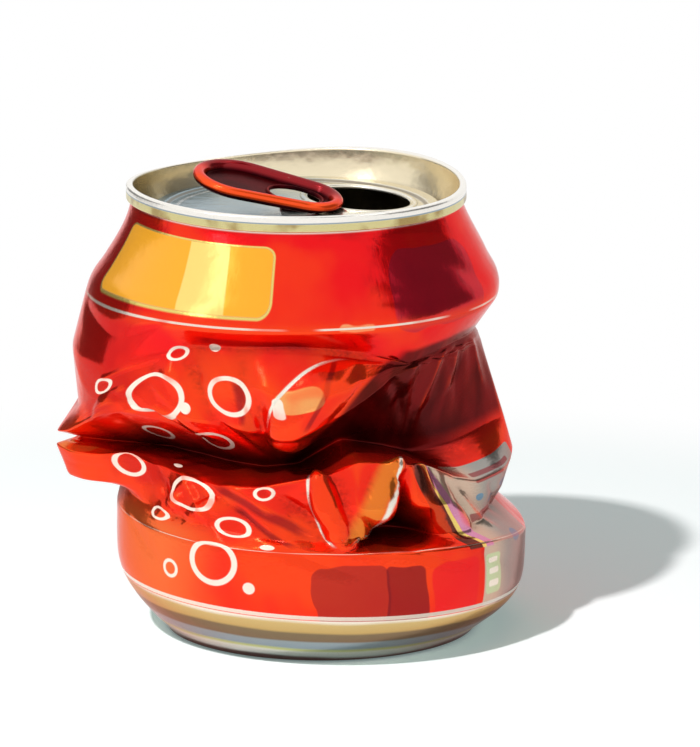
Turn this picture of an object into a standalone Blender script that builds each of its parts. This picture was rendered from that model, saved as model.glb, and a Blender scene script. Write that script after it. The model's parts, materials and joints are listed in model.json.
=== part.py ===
"""Crushed drink can: one drawn body, its seamed lid with the open mouth, and the lifted ring tab."""

import math

import bmesh
import bpy
import numpy as np

MM = 0.001

# Overall sizes, in millimetres
BODY_RADIUS = 33.0
BODY_SHEET = 0.16
BAND_HEIGHT = 19.6
SHOULDER_HEIGHT = 54.8
RIM_HEIGHT = 72.8
UPPER_SHIFT = -4.4
NECK_SHIFT = -3.95
COLUMNS = 48

# Base
STAND_RADIUS = 24.5
STAND_WIDTH = 0.8
DOME_HEIGHT = 10.8
BAND_LEAN = 1.3

# Double seam and lid
SEAM_RADIUS = 27.2
SEAM_HEIGHT = 2.5
LID_SHEET = 0.2
SEAM_GAP = 0.06
SEAM_ROUND = 0.11
COUNTERSINK_DEPTH = 6.3
PANEL_DEPTH = 4.65
PANEL_RISE = 0.45
PANEL_RING = 5.4
COUNTERSINK_WIDTH = 2.9
COUNTERSINK_ROUND = 0.4
RIM_TILT_DEG = 2.2
RIM_WARP = 1.2

# Mouth of the lid
MOUTH_OFFSET = 12.2
MOUTH_ANGLE_DEG = 35.0
MOUTH_RADIAL = 7.2
MOUTH_ACROSS = 10.2
BEAD_WIDTH = 1.1
BEAD_RISE = 0.4
FLAP_DROP_DEG = 96.0
FLAP_SHRINK = 0.94
FLAP_HINGE_DEG = 215.0
FLAP_HINGE_WIDTH = 4.2
FLAP_BEND = 0.7

# Rivet and pull tab
RIVET_RADIUS = 1.6
RIVET_HEAD_RADIUS = 2.45
RIVET_HEAD_RISE = 0.33
RIVET_CLEARANCE = 0.15
TAB_SHEET = 0.26
TAB_GAP = 0.08
TAB_HEEL = 17.0
TAB_NOSE = 7.6
TAB_HEEL_RADIUS = 7.8
TAB_NOSE_RADIUS = 6.3
TAB_CURL = 0.74
TAB_LIFT_DEG = 13.0
TAB_LIFT_AT = 4.3
TAB_LIFT_BASE = 2.15
TAB_TURN_DEG = -10.0
TAB_HOLE_LONG = 4.3
TAB_HOLE_WIDE = 3.5
TAB_HOLE_AT = -0.2
TONGUE_HALF = 2.0

# Crushed wall: rings of knots (angle from the front, reach past a body of 33, height in a span of 35.2)
RINGS = (
    (UPPER_SHIFT, 1.0, (
        (-180, 0, 36.0), (-90, 0.4, 35.3), (0, 0, 35.0), (90, -0.1, 35.4))),
    (UPPER_SHIFT, 1.0, (
        (-180, -5, 31.4), (-150, -3, 30.4), (-120, 0, 28.9), (-90, 2.6, 26.9), (-75, 2.5, 26.4),
        (-60, 1.5, 26.4), (-45, -1.5, 29.4), (-30, -3.5, 31.6), (0, -3.7, 32.2), (15, -3.7, 31.6),
        (22.5, -3.5, 30.7), (37.5, -3, 28.6), (45, -3.4, 29.2), (60, -3.7, 30), (90, -4, 29.9),
        (105, -5, 30.4), (120, -6, 30.9), (150, -6.5, 31.4))),
    (UPPER_SHIFT, 1.0, (
        (-180, -3, 26.4), (-150, -2.5, 25.4), (-120, 0, 24.4), (-105, 0.5, 20.4), (-90, 1.7, 17.1),
        (-82.5, 1.6, 17.9), (-75, 1.6, 19.4), (-60, 1.4, 22.9), (-52.5, 0.4, 25), (-45, -2, 26.4),
        (-37.5, -0.8, 26.9), (-30, -3.4, 27.2), (-22.5, -2, 26.9), (-15, -3, 26.4), (-7.5, -0.4, 26),
        (0, 0.3, 25.4), (15, -0.4, 26.6), (22.5, -1.4, 27.4), (30, -2.4, 28.3), (37.5, -2.9, 28.2),
        (45, -3.6, 28.7), (60, -3.7, 29), (90, -3.4, 28.6), (105, -3, 27.9), (120, -3, 27.4),
        (150, -3, 26.4))),
    (UPPER_SHIFT, 1.0, (
        (-180, -0.5, 21.2), (-150, 0, 20.9), (-120, 1, 18.4), (-105, 2.5, 15.4), (-90, 5.4, 12.2),
        (-82.5, 3.8, 13.2), (-75, 2, 15.4), (-60, 1, 18.9), (-45, -1, 20.7), (-37.5, -3, 20.4),
        (-30, -1.4, 20), (-22.5, -3.4, 19.6), (-13, -2.6, 18.8),
        (-9, -5.2, 18.6), (-6, -1.2, 18.4), (0, -0.3, 18.4), (7.5, -1, 19.9), (15, -1.4, 21.9),
        (30, -2.6, 26.4), (37.5, -3.2, 27.8), (60, -4.3, 27.4), (75, -3.9, 27.7), (90, -2.9, 27.2),
        (105, -2, 25.2), (120, -1, 23.2), (150, 0, 21.2))),
    (-3.5, 1.0, (
        (-180, -10, 13.4), (-150, -9, 13.4), (-120, -6, 12.9), (-105, -1, 11.9), (-90, 2.6, 11.3),
        (-82.5, -2, 11.7), (-75, -6, 12), (-60, -10, 12.4), (-45, -12, 11.9), (-15, -12.5, 11),
        (0, -12, 11.8), (15, -8, 16.4), (22.5, -10, 15.4), (37.5, -11.5, 13.7), (52.5, -11.5, 11.9),
        (67.5, -7, 12.7), (82.5, -2, 14.7), (90, 0.2, 15), (105, -5, 15), (120, -9, 15), (150, -11, 14.4))),
    (-2.0, 1.0, (
        (-180, 0, 8.2), (-150, 0, 8.2), (-120, 2, 8.2), (-105, 5, 8.8), (-90, 8, 10.2), (-82.5, 5.6, 10),
        (-75, 2.2, 10.4), (-67.5, -1.5, 11.4), (-52.5, -5, 10), (-30, -4.5, 9), (-15, -3.5, 9.6),
        (0, -2.2, 11.6), (7.5, -2.6, 12.4), (15, -1.6, 14), (24, -1, 13.6), (31, -1.2, 12.8),
        (34.5, -3.4, 12.4), (38, -2.6, 12.2), (41, -5.6, 11.6), (45.5, -3.4, 10.4), (52.5, -3.4, 8.8),
        (60, -2.2, 7.6), (75, -0.2, 8.2), (90, 0, 9.7), (105, -1, 10.2), (120, -1, 9.2), (150, 0, 8.2))),
    (-1.0, 1.0, (
        (-180, -1.2, 5.4), (-150, -1.5, 5.9), (-120, -0.5, 5.9), (-105, 2.4, 5.6), (-90, 7, 4.9),
        (-82.5, 4.5, 5.2), (-75, 0.8, 5.8), (-60, -3, 6.9), (-52.5, -3.5, 6.4), (-45, -2.5, 6.2),
        (-37.5, -3.5, 5.9), (-30, -2.5, 5.8), (-22.5, -3.5, 5.9), (-15, -2.5, 5.9), (-7.5, -4, 6.4),
        (-2, -3, 6.6), (2, -1.2, 6.9), (7.5, -2, 7), (14, -0.5, 6.9), (21, -1, 6.6), (24.5, -6.5, 6.3),
        (28, -7.5, 6.2), (31, -2.6, 6), (35, -1.6, 5.8), (43, -2.2, 5.4), (52.5, -3.4, 4.6), (60, -3, 3.9),
        (75, -2, 5), (90, -3.1, 4.7), (105, -3, 6.4), (120, -2.4, 5.9), (150, -1.4, 5.4))),
    (0.0, 1.0, (
        (-180, -1.5, 2.4), (-150, -2, 3.4), (-120, -2, 4.4), (-90, -0.9, 5.2), (-75, -1.3, 4.6),
        (-60, -1.5, 3.4), (-45, -2, 2.9), (-15, -1.5, 1.9), (0, -2.4, 1.9), (6.5, -0.8, 1.2),
        (11, -3.6, 1.2), (15, -9.5, 1.3), (22.5, -11, 1.2), (31, -11, 1), (35.5, -9, 0.8), (39.5, -3.8, 0.6),
        (46, -2.6, 0.5), (56, -3.6, 0.6), (67.5, -4.5, 1.4), (90, -5.4, 2.2), (105, -5, 1.9),
        (120, -4, 1.9), (150, -2, 2.4))),
    (0.0, 1.0, (
        (-180, 0, 0), (-90, 0, 1.4), (-60, 0, 0.9), (-30, 0, 0.2), (0, 0, 0), (30, 0, -0.4),
        (60, 0, -1.6), (90, 0.2, -3.4), (120, 0, -1.6))),
)
# Neck: share of the way out from the seam's wall to the body, and share of the climb to the rim
NECK = ((1.0, 0.13), (0.88, 0.26), (0.606, 0.43), (0.307, 0.605), (0.083, 0.77))


def clamp(value, low, high):
    return max(low, min(high, value))


def ease(value):
    t = clamp(value, 0.0, 1.0)
    return t * t * (3.0 - 2.0 * t)


def column_angles():
    return [360.0 * j / COLUMNS for j in range(COLUMNS)]


def at_angle(centre, reach, angle_deg, height):
    a = math.radians(angle_deg)
    return (centre + reach * math.sin(a), -reach * math.cos(a), height)


def between_knots(knots, angle_deg):
    a = (angle_deg + 180.0) % 360.0 - 180.0
    around = list(knots) + [(knots[0][0] + 360.0,) + tuple(knots[0][1:])]
    for left, right in zip(around, around[1:]):
        if left[0] <= a <= right[0]:
            t = (a - left[0]) / (right[0] - left[0])
            return [p + (q - p) * t for p, q in zip(left[1:], right[1:])]
    return list(knots[0][1:])


def upper_pose(point, amount=1.0):
    """Takes a point given from the centre of the rim's top to its place on the bent can."""
    x, y, z = point
    far = clamp((math.hypot(x, y) / SEAM_RADIUS - 0.72) / 0.28, 0.0, 1.2)
    a = math.atan2(x, -y)
    back = 0.5 * (1.0 - math.cos(a))
    rise = -RIM_WARP * far * far * back * (math.sin(2.0 * a) + 0.35) * amount
    tilt = math.radians(RIM_TILT_DEG) * amount
    z = z + rise
    turned_y = y * math.cos(tilt) - z * math.sin(tilt)
    turned_z = y * math.sin(tilt) + z * math.cos(tilt)
    return (x + NECK_SHIFT, turned_y, turned_z + RIM_HEIGHT)


def seam_layers():
    """Middle radii of the five sheets of the seam, from the outside in."""
    outer = SEAM_RADIUS - LID_SHEET / 2
    hook = SEAM_RADIUS - LID_SHEET - SEAM_GAP - BODY_SHEET / 2
    cover = hook - BODY_SHEET / 2 - SEAM_GAP - LID_SHEET / 2
    wall = cover - LID_SHEET / 2 - SEAM_GAP - BODY_SHEET / 2
    chuck = wall - BODY_SHEET / 2 - SEAM_GAP - LID_SHEET / 2
    return outer, hook, cover, wall, chuck


def body_rows():
    """Rings of points down the middle of the body's sheet, from the seam hook to the edge of the dome."""
    angles = column_angles()
    outer, hook, cover, wall, chuck = seam_layers()
    top = -LID_SHEET - SEAM_GAP - BODY_SHEET / 2
    low = -0.92 * SEAM_HEIGHT + LID_SHEET + SEAM_GAP
    path = (
        (hook, low), (hook, top - SEAM_ROUND), (hook - SEAM_ROUND, top), (wall + SEAM_ROUND, top),
        (wall, top - SEAM_ROUND), (wall, -1.04 * SEAM_HEIGHT))
    rows = []
    for reach, depth in path:
        rows.append([upper_pose(at_angle(0.0, reach, a, depth)) for a in angles])
    drop = RIM_HEIGHT - SHOULDER_HEIGHT
    for share, climb in reversed(NECK):
        ring = []
        for a in angles:
            depth = -drop * (1.0 - climb)
            left = ease((math.sin(math.radians(a)) * -1.0 - 0.2) / 0.8)
            width = BODY_RADIUS - wall
            reach = wall + width * (share - 0.166 * left * math.sin(math.pi * ease(climb)))
            pose = upper_pose(at_angle(0.0, reach, a, depth), 0.6 + 0.4 * climb)
            lean = (UPPER_SHIFT - NECK_SHIFT) * (1.0 - climb)
            ring.append((pose[0] + lean, pose[1], pose[2]))
        rows.append(ring)
    squash = (SHOULDER_HEIGHT - BAND_HEIGHT) / 35.2
    for centre, share, knots in RINGS:
        ring = []
        for a in angles:
            reach, height = between_knots(knots, a)
            radius = BODY_RADIUS * (1.0 + reach / 33.0 * share)
            ring.append(at_angle(centre, radius, a, BAND_HEIGHT + height * squash))
        rows.append(ring)
    for reach, height in base_path():
        ring = []
        for a in angles:
            low = height / (0.46 * BAND_HEIGHT)
            high = (BAND_HEIGHT - height) / (0.46 * BAND_HEIGHT)
            lean = -BAND_LEAN * math.sin(math.radians(a)) * ease(low) * ease(high)
            ring.append(at_angle(0.0, reach, a, height + lean))
        rows.append(ring)
    return rows


def base_path():
    """The lower band, the chime, the flat stand and the leg up to the dome (reach, height)."""
    half = BODY_SHEET / 2
    step = BODY_RADIUS - STAND_RADIUS
    dome = DOME_HEIGHT
    band = BAND_HEIGHT
    foot = STAND_RADIUS
    return (
        (1.003 * BODY_RADIUS, 0.74 * band), (BODY_RADIUS, 0.531 * band), (BODY_RADIUS - 0.10 * step, 0.398 * band),
        (BODY_RADIUS - 0.34 * step, 0.265 * band), (BODY_RADIUS - 0.62 * step, 0.148 * band),
        (BODY_RADIUS - 0.88 * step, 0.051 * band), (foot + STAND_WIDTH / 2, half),
        (foot - STAND_WIDTH / 2, half), (0.939 * foot, 0.093 * dome), (0.914 * foot, 0.42 * dome),
        (0.869 * foot, 0.58 * dome), (0.66 * foot, 0.80 * dome), (0.36 * foot, 0.95 * dome))


def lid_rows():
    """Rings of points down the middle of the lid's sheet, from the cover hook in to the rivet's head."""
    angles = column_angles()
    outer, hook, cover, wall, chuck = seam_layers()
    half = LID_SHEET / 2
    foot = -SEAM_HEIGHT + half
    panel = -PANEL_DEPTH
    sink = -COUNTERSINK_DEPTH + half
    stem = RIVET_RADIUS - half
    width = COUNTERSINK_WIDTH
    bend = COUNTERSINK_ROUND
    ring = PANEL_RING
    head = half + 2 * TAB_GAP + TAB_SHEET + half
    path = (
        (cover, -0.3 * SEAM_HEIGHT), (cover, foot + SEAM_ROUND), (cover + SEAM_ROUND, foot),
        (outer - SEAM_ROUND, foot), (outer, foot + SEAM_ROUND), (outer, -half - SEAM_ROUND),
        (outer - SEAM_ROUND, -half), (chuck + SEAM_ROUND, -half), (chuck, -half - SEAM_ROUND),
        (chuck, foot), (chuck - 0.57 * width, sink + bend), (chuck - 0.69 * width, sink),
        (chuck - 0.86 * width, sink), (chuck - width, sink + bend),
        (chuck - 0.556 * ring, panel + PANEL_RISE - 0.875 * bend), (chuck - 0.611 * ring, panel + PANEL_RISE),
        (chuck - 0.907 * ring, panel + PANEL_RISE), (chuck - ring, panel),
        (RIVET_HEAD_RADIUS + 1.5 * bend, panel), (stem, panel), (stem, panel + head),
        (RIVET_HEAD_RADIUS - half, panel + head), (RIVET_HEAD_RADIUS - half, panel + head + RIVET_HEAD_RISE))
    return [[at_angle(0.0, reach, a, depth) for a in angles] for reach, depth in path]


def unit(vector):
    size = math.sqrt(float(vector @ vector))
    return vector / max(size, 1e-12)


def both_sides(rows, sheet):
    """Offsets every row to both faces of the sheet, with mitred corners along the path."""
    grid = np.array(rows)
    count = len(grid)
    around = np.roll(grid, -1, 1) - np.roll(grid, 1, 1)
    faces = [np.array(grid), np.array(grid)]
    for i in range(count):
        for j in range(COLUMNS):
            sides = []
            if i > 0:
                sides.append(unit(np.cross(grid[i, j] - grid[i - 1, j], around[i, j])))
            if i < count - 1:
                sides.append(unit(np.cross(grid[i + 1, j] - grid[i, j], around[i, j])))
            total = sum(sides)
            scale = 1.0
            if len(sides) == 2:
                total = total / max(1.0 + float(sides[0] @ sides[1]), 0.45)
            faces[0][i, j] += total * scale * sheet / 2
            faces[1][i, j] -= total * scale * sheet / 2
    return faces


def sheet_solid(name, rows, sheet, pole):
    """A closed sheet: rows of points on both faces, an open edge at the first row, a pole after the last."""
    faces = both_sides(rows, sheet)
    mesh = bmesh.new()
    sides = []
    for face, offset in zip(faces, (sheet / 2, -sheet / 2)):
        verts = [[mesh.verts.new([c * MM for c in p]) for p in ring] for ring in face]
        tip = mesh.verts.new((pole[0] * MM, pole[1] * MM, (pole[2] + pole[3] * offset) * MM))
        sides.append((verts, tip))
    middle = np.array(rows)
    for i in range(len(rows) - 1):
        for j in range(COLUMNS):
            k = (j + 1) % COLUMNS
            first = np.linalg.norm(middle[i, j] - middle[i + 1, k])
            second = np.linalg.norm(middle[i, k] - middle[i + 1, j])
            for verts, tip in sides:
                quad = (verts[i][j], verts[i][k], verts[i + 1][k], verts[i + 1][j])
                flat = abs(first - second) < 1e-4
                if flat:
                    mesh.faces.new(quad)
                elif first < second:
                    mesh.faces.new((quad[0], quad[1], quad[2]))
                    mesh.faces.new((quad[0], quad[2], quad[3]))
                else:
                    mesh.faces.new((quad[0], quad[1], quad[3]))
                    mesh.faces.new((quad[1], quad[2], quad[3]))
    for j in range(COLUMNS):
        k = (j + 1) % COLUMNS
        for verts, tip in sides:
            mesh.faces.new((verts[-1][j], verts[-1][k], tip))
        mesh.faces.new((sides[0][0][0][j], sides[0][0][0][k], sides[1][0][0][k], sides[1][0][0][j]))
    return finish(name, mesh)


def finish(name, mesh):
    bmesh.ops.recalc_face_normals(mesh, faces=mesh.faces)
    data = bpy.data.meshes.new(name)
    mesh.to_mesh(data)
    mesh.free()
    thing = bpy.data.objects.new(name, data)
    bpy.context.scene.collection.objects.link(thing)
    return thing


def combine(target, tool, operation):
    """Applies one exact Boolean and takes the tool away."""
    step = target.modifiers.new("cut", "BOOLEAN")
    step.operation = operation
    step.solver = "EXACT"
    step.object = tool
    view = bpy.context.evaluated_depsgraph_get()
    view.update()
    result = bpy.data.meshes.new_from_object(target.evaluated_get(view))
    target.modifiers.clear()
    old = target.data
    target.data = result
    bpy.data.meshes.remove(old)
    bpy.data.objects.remove(tool)


def swept_loop(name, stations):
    """A closed tube: every station is one closed section, all with the same number of points."""
    mesh = bmesh.new()
    rings = [[mesh.verts.new([c * MM for c in p]) for p in section] for section in stations]
    for i, ring in enumerate(rings):
        other = rings[(i + 1) % len(rings)]
        for j in range(len(ring)):
            k = (j + 1) % len(ring)
            mesh.faces.new((ring[j], ring[k], other[k], other[j]))
    return finish(name, mesh)


def plate(name, outline, low, high):
    mesh = bmesh.new()
    bottom = [mesh.verts.new((x * MM, y * MM, low * MM)) for x, y in outline]
    top = [mesh.verts.new((x * MM, y * MM, high * MM)) for x, y in outline]
    mesh.faces.new(bottom[::-1])
    mesh.faces.new(top)
    for j in range(len(outline)):
        k = (j + 1) % len(outline)
        mesh.faces.new((bottom[j], bottom[k], top[k], top[j]))
    return finish(name, mesh)


def oval(long, wide, count, centre=(0.0, 0.0), start=0.0):
    steps = [2.0 * math.pi * (j + start) / count for j in range(count)]
    return [(centre[0] + long * math.cos(t), centre[1] + wide * math.sin(t)) for t in steps]


def mouth_point(u, w):
    """From the mouth's own axes (outward, across) to the lid's plane."""
    a = math.radians(MOUTH_ANGLE_DEG)
    x = (MOUTH_OFFSET + u) * math.cos(a) - w * math.sin(a)
    y = (MOUTH_OFFSET + u) * math.sin(a) + w * math.cos(a)
    return (x, y)


def mouth_cutter():
    outline = [mouth_point(u, w) for u, w in oval(MOUTH_RADIAL, MOUTH_ACROSS, 40)]
    return plate("mouth_cutter", outline, -PANEL_DEPTH - 2.0, -PANEL_DEPTH + 2.0)


def mouth_bead():
    """The raised bead that runs round the mouth."""
    half = BEAD_WIDTH / 2
    section = (
        (-half, -0.06), (-0.8 * half, 0.45 * BEAD_RISE), (-0.3 * half, BEAD_RISE),
        (0.3 * half, BEAD_RISE), (0.8 * half, 0.45 * BEAD_RISE), (half, -0.06))
    base = -PANEL_DEPTH + LID_SHEET / 2
    stations = []
    for step in range(40):
        t = 2.0 * math.pi * step / 40
        out = (math.cos(t) / MOUTH_RADIAL, math.sin(t) / MOUTH_ACROSS)
        size = math.hypot(*out)
        ring = []
        for away, rise in section:
            reach = half + 0.12 + away
            u = MOUTH_RADIAL * math.cos(t) + out[0] / size * reach
            w = MOUTH_ACROSS * math.sin(t) + out[1] / size * reach
            x, y = mouth_point(u, w)
            ring.append((x, y, base + rise))
        stations.append(ring)
    return swept_loop("mouth_bead", stations)


def tear_flap():
    """The torn panel, bent down into the can and still held by its strip beside the rivet."""
    t = math.radians(FLAP_HINGE_DEG)
    hinge = (MOUTH_RADIAL * math.cos(t), MOUTH_ACROSS * math.sin(t))
    out = (math.cos(t) / MOUTH_RADIAL, math.sin(t) / MOUTH_ACROSS)
    size = math.hypot(*out)
    inward = (-out[0] / size, -out[1] / size)
    across = (-inward[1], inward[0])
    length = 0.0
    widths = []
    probes = [MOUTH_ACROSS * k / 102.0 for k in range(1, 240)]
    for probe in probes:
        reach = chord(hinge, inward, across, probe)
        if reach is not None:
            length = probe
            widths.append((probe, reach))
    bend = FLAP_BEND
    turn = math.radians(FLAP_DROP_DEG)
    strip = FLAP_HINGE_WIDTH / 2
    stops = [-0.36 * FLAP_HINGE_WIDTH, 0.0, 0.25 * bend * turn, 0.5 * bend * turn, bend * turn]
    stops += [bend * turn + (length - bend * turn) * f for f in (0.08, 0.2, 0.4, 0.6, 0.8, 0.93, 0.995)]
    rows = []
    for stop in stops:
        low, high = flap_edges(stop, bend * turn, strip, widths)
        flat, down = bent(stop, bend, turn)
        row = []
        for share in (0.0, 0.25, 0.5, 0.75, 1.0):
            side = low + (high - low) * share
            u = hinge[0] + inward[0] * flat + across[0] * side
            w = hinge[1] + inward[1] * flat + across[1] * side
            x, y = mouth_point(u, w)
            row.append((x, y, -PANEL_DEPTH + down))
        rows.append(row)
    return strip_solid("tear_flap", rows, LID_SHEET * 0.9)


def chord(hinge, inward, across, probe):
    """The two edges of the shrunken mouth oval along a line at this distance from the hinge."""
    found = []
    for k in range(-240, 241):
        side = MOUTH_ACROSS * k / 102.0
        u = hinge[0] + inward[0] * probe + across[0] * side
        w = hinge[1] + inward[1] * probe + across[1] * side
        inside = (u / (MOUTH_RADIAL * FLAP_SHRINK)) ** 2 + (w / (MOUTH_ACROSS * FLAP_SHRINK)) ** 2
        if inside <= 1.0:
            found.append(side)
    if len(found) < 3:
        return None
    return (found[0], found[-1])


def flap_edges(stop, bend_length, strip, widths):
    if stop <= bend_length + 1e-6 or not widths:
        return (-strip, strip)
    best = min(widths, key=lambda item: abs(item[0] - stop))
    return best[1]


def bent(stop, bend, turn):
    if stop <= 0.0:
        return (stop, 0.0)
    angle = min(stop / bend, turn)
    flat = bend * math.sin(angle)
    down = -bend * (1.0 - math.cos(angle))
    rest = max(stop - bend * turn, 0.0)
    return (flat + rest * math.cos(turn), down - rest * math.sin(turn))


def strip_solid(name, rows, sheet):
    """A closed plate from a grid of points along its middle."""
    grid = np.array(rows)
    along = np.gradient(grid, axis=0)
    side = np.gradient(grid, axis=1)
    normal = np.cross(along, side)
    normal /= np.maximum(np.linalg.norm(normal, axis=2, keepdims=True), 1e-12)
    mesh = bmesh.new()
    layers = []
    for sign in (0.5, -0.5):
        points = grid + normal * sheet * sign
        layers.append([[mesh.verts.new([c * MM for c in p]) for p in row] for row in points])
    count, wide = grid.shape[0], grid.shape[1]
    for layer in layers:
        for i in range(count - 1):
            for j in range(wide - 1):
                mesh.faces.new((layer[i][j], layer[i][j + 1], layer[i + 1][j + 1], layer[i + 1][j]))
    edge = [(0, j) for j in range(wide)] + [(i, wide - 1) for i in range(1, count)]
    edge += [(count - 1, j) for j in range(wide - 2, -1, -1)] + [(i, 0) for i in range(count - 2, 0, -1)]
    for here, there in zip(edge, edge[1:] + edge[:1]):
        mesh.faces.new((
            layers[0][here[0]][here[1]], layers[0][there[0]][there[1]],
            layers[1][there[0]][there[1]], layers[1][here[0]][here[1]]))
    return finish(name, mesh)


def tab_edge(inset, count):
    """The egg-shaped outline of the tab, drawn in by an inset, with its outward directions."""
    heel_at = -TAB_HEEL + TAB_HEEL_RADIUS
    nose_at = TAB_NOSE - TAB_NOSE_RADIUS
    limit = (TAB_HEEL_RADIUS - TAB_NOSE_RADIUS) / (nose_at - heel_at)
    points = []
    for j in range(count):
        a = 2.0 * math.pi * (j + 0.5) / count
        nose = math.cos(a) > limit
        centre = nose_at if nose else heel_at
        radius = (TAB_NOSE_RADIUS if nose else TAB_HEEL_RADIUS) - inset
        points.append((centre + radius * math.cos(a), radius * math.sin(a), math.cos(a), math.sin(a)))
    return points


def curl_section():
    """The curled edge of the tab's sheet as a closed outline (outward, up)."""
    ring = TAB_CURL - TAB_SHEET / 2
    path = [(-1.5, -0.3), (-0.85, -0.3)]
    for degrees in (165, 125, 85, 45, 5, -35, -75, -110):
        a = math.radians(degrees)
        path.append((ring * math.cos(a), ring * math.sin(a)))
    half = TAB_SHEET / 2
    left = []
    right = []
    for i, (x, y) in enumerate(path):
        normals = []
        if i > 0:
            normals.append(line_normal(path[i - 1], path[i]))
        if i < len(path) - 1:
            normals.append(line_normal(path[i], path[i + 1]))
        nx = sum(n[0] for n in normals)
        ny = sum(n[1] for n in normals)
        if len(normals) == 2:
            dot = normals[0][0] * normals[1][0] + normals[0][1] * normals[1][1]
            nx /= max(1.0 + dot, 0.5)
            ny /= max(1.0 + dot, 0.5)
        left.append((x + nx * half, y + ny * half))
        right.append((x - nx * half, y - ny * half))
    return left + right[::-1]


def line_normal(first, second):
    dx = second[0] - first[0]
    dy = second[1] - first[1]
    size = math.hypot(dx, dy)
    return (-dy / size, dx / size)


def lifted(x, y, z):
    """Places a point of the flat tab on its plane, which rises toward the heel."""
    a = math.radians(TAB_LIFT_DEG)
    away = TAB_LIFT_AT - x
    along = TAB_LIFT_AT - away * math.cos(a) + z * math.sin(a)
    return (along, y, TAB_LIFT_BASE + away * math.sin(a) + z * math.cos(a))


def tab_solid():
    section = curl_section()
    stations = []
    for x, y, cx, cy in tab_edge(TAB_CURL, 44):
        stations.append([(x + cx * away, y + cy * away, up) for away, up in section])
    tab = swept_loop("pull_tab", stations)
    half = TAB_SHEET / 2
    outline = [(p[0], p[1]) for p in tab_edge(TAB_CURL + 1.2, 36)]
    web = plate("web", outline, -0.3 - half * 0.98, -0.3 + half * 0.98)
    hole = plate("hole", oval(TAB_HOLE_LONG, TAB_HOLE_WIDE, 28, (TAB_HOLE_AT, 0.0)), -2.0, 2.0)
    combine(web, hole, "DIFFERENCE")
    combine(tab, web, "UNION")
    for vert in tab.data.vertices:
        x, y, z = [c / MM for c in vert.co]
        vert.co = [c * MM for c in lifted(x, y, z)]
    combine(tab, tongue(), "UNION")
    return tab


def tongue():
    """The strip left from the web, pressed down on the lid and pierced for the rivet."""
    level = LID_SHEET / 2 + TAB_GAP + TAB_SHEET / 2
    top = lifted(TAB_HOLE_AT + TAB_HOLE_LONG + 0.9, 0.0, -0.37)
    lip = lifted(TAB_HOLE_AT + TAB_HOLE_LONG - 0.1, 0.0, -0.5)
    path = [(top[0], top[2]), (lip[0], lip[2])]
    flat = RIVET_HEAD_RADIUS + 0.45
    path += [(flat + 0.3, level + 0.25), (flat, level), (flat - 0.4, level), (0.0, level), (-TONGUE_HALF, level)]
    rows = []
    for x, z in path:
        wide = TONGUE_HALF * (1.25 if abs(x) < 1.0 else 1.0)
        rows.append([(x, wide * share, z) for share in (-1.0, -0.5, 0.0, 0.5, 1.0)])
    back = -RIVET_HEAD_RADIUS - 0.1
    rows.append([(back, 0.5 * TONGUE_HALF * share, level) for share in (-1.0, -0.5, 0.0, 0.5, 1.0)])
    strip = strip_solid("tongue", rows, TAB_SHEET * 0.96)
    reach = RIVET_RADIUS + RIVET_CLEARANCE
    bore = plate("bore", oval(reach, reach, 22, (0.0, 0.0), 0.37), -1.0, 1.2)
    combine(strip, bore, "DIFFERENCE")
    return strip


def material(name, colour, roughness, metallic):
    skin = bpy.data.materials.new(name)
    skin.use_nodes = True
    shader = skin.node_tree.nodes["Principled BSDF"]
    shader.inputs["Base Color"].default_value = (*colour, 1.0)
    shader.inputs["Roughness"].default_value = roughness
    shader.inputs["Metallic"].default_value = metallic
    skin.diffuse_color = (*colour, 1.0)
    return skin


def shade(thing, skin):
    thing.data.materials.clear()
    thing.data.materials.append(skin)
    for face in thing.data.polygons:
        face.use_smooth = True
        face.material_index = 0
    thing.data.update()


def main():
    for thing in list(bpy.data.objects):
        bpy.data.objects.remove(thing)

    # Body
    body = sheet_solid("can_body", body_rows(), BODY_SHEET, (0.0, 0.0, DOME_HEIGHT, -1.0))

    # Lid with its mouth, bead and torn flap
    top = -PANEL_DEPTH + LID_SHEET + 2 * TAB_GAP + TAB_SHEET + RIVET_HEAD_RISE
    lid = sheet_solid("can_end", lid_rows(), LID_SHEET, (0.0, 0.0, top, 1.0))
    combine(lid, mouth_cutter(), "DIFFERENCE")
    combine(lid, mouth_bead(), "UNION")
    combine(lid, tear_flap(), "UNION")
    for vert in lid.data.vertices:
        vert.co = [c * MM for c in upper_pose([c / MM for c in vert.co])]

    # Pull tab on its rivet
    tab = tab_solid()
    tilt = math.radians(RIM_TILT_DEG)
    turn = math.radians(TAB_TURN_DEG)
    for vert in tab.data.vertices:
        x = vert.co.x * math.cos(turn) - vert.co.y * math.sin(turn)
        y = vert.co.x * math.sin(turn) + vert.co.y * math.cos(turn)
        z = vert.co.z
        vert.co = (x, y * math.cos(tilt) - z * math.sin(tilt), y * math.sin(tilt) + z * math.cos(tilt))
    pivot = upper_pose((0.0, 0.0, -PANEL_DEPTH))

    # Stand the whole can with the middle of its bounds over the origin
    points = np.array([v.co[:] for v in body.data.vertices])
    low, high = points.min(0), points.max(0)
    shift = (-0.5 * (low[0] + high[0]), -0.5 * (low[1] + high[1]))
    for thing in (body, lid):
        for vert in thing.data.vertices:
            vert.co.x += shift[0]
            vert.co.y += shift[1]
    tab.location = (pivot[0] * MM + shift[0], pivot[1] * MM + shift[1], pivot[2] * MM)

    shade(body, material("red_lacquer", (0.72, 0.02, 0.03), 0.28, 0.35))
    shade(lid, material("lid_aluminium", (0.78, 0.76, 0.70), 0.32, 0.9))
    shade(tab, material("tab_lacquer", (0.25, 0.012, 0.012), 0.25, 0.5))


main()
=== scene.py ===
import json
import math

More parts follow.
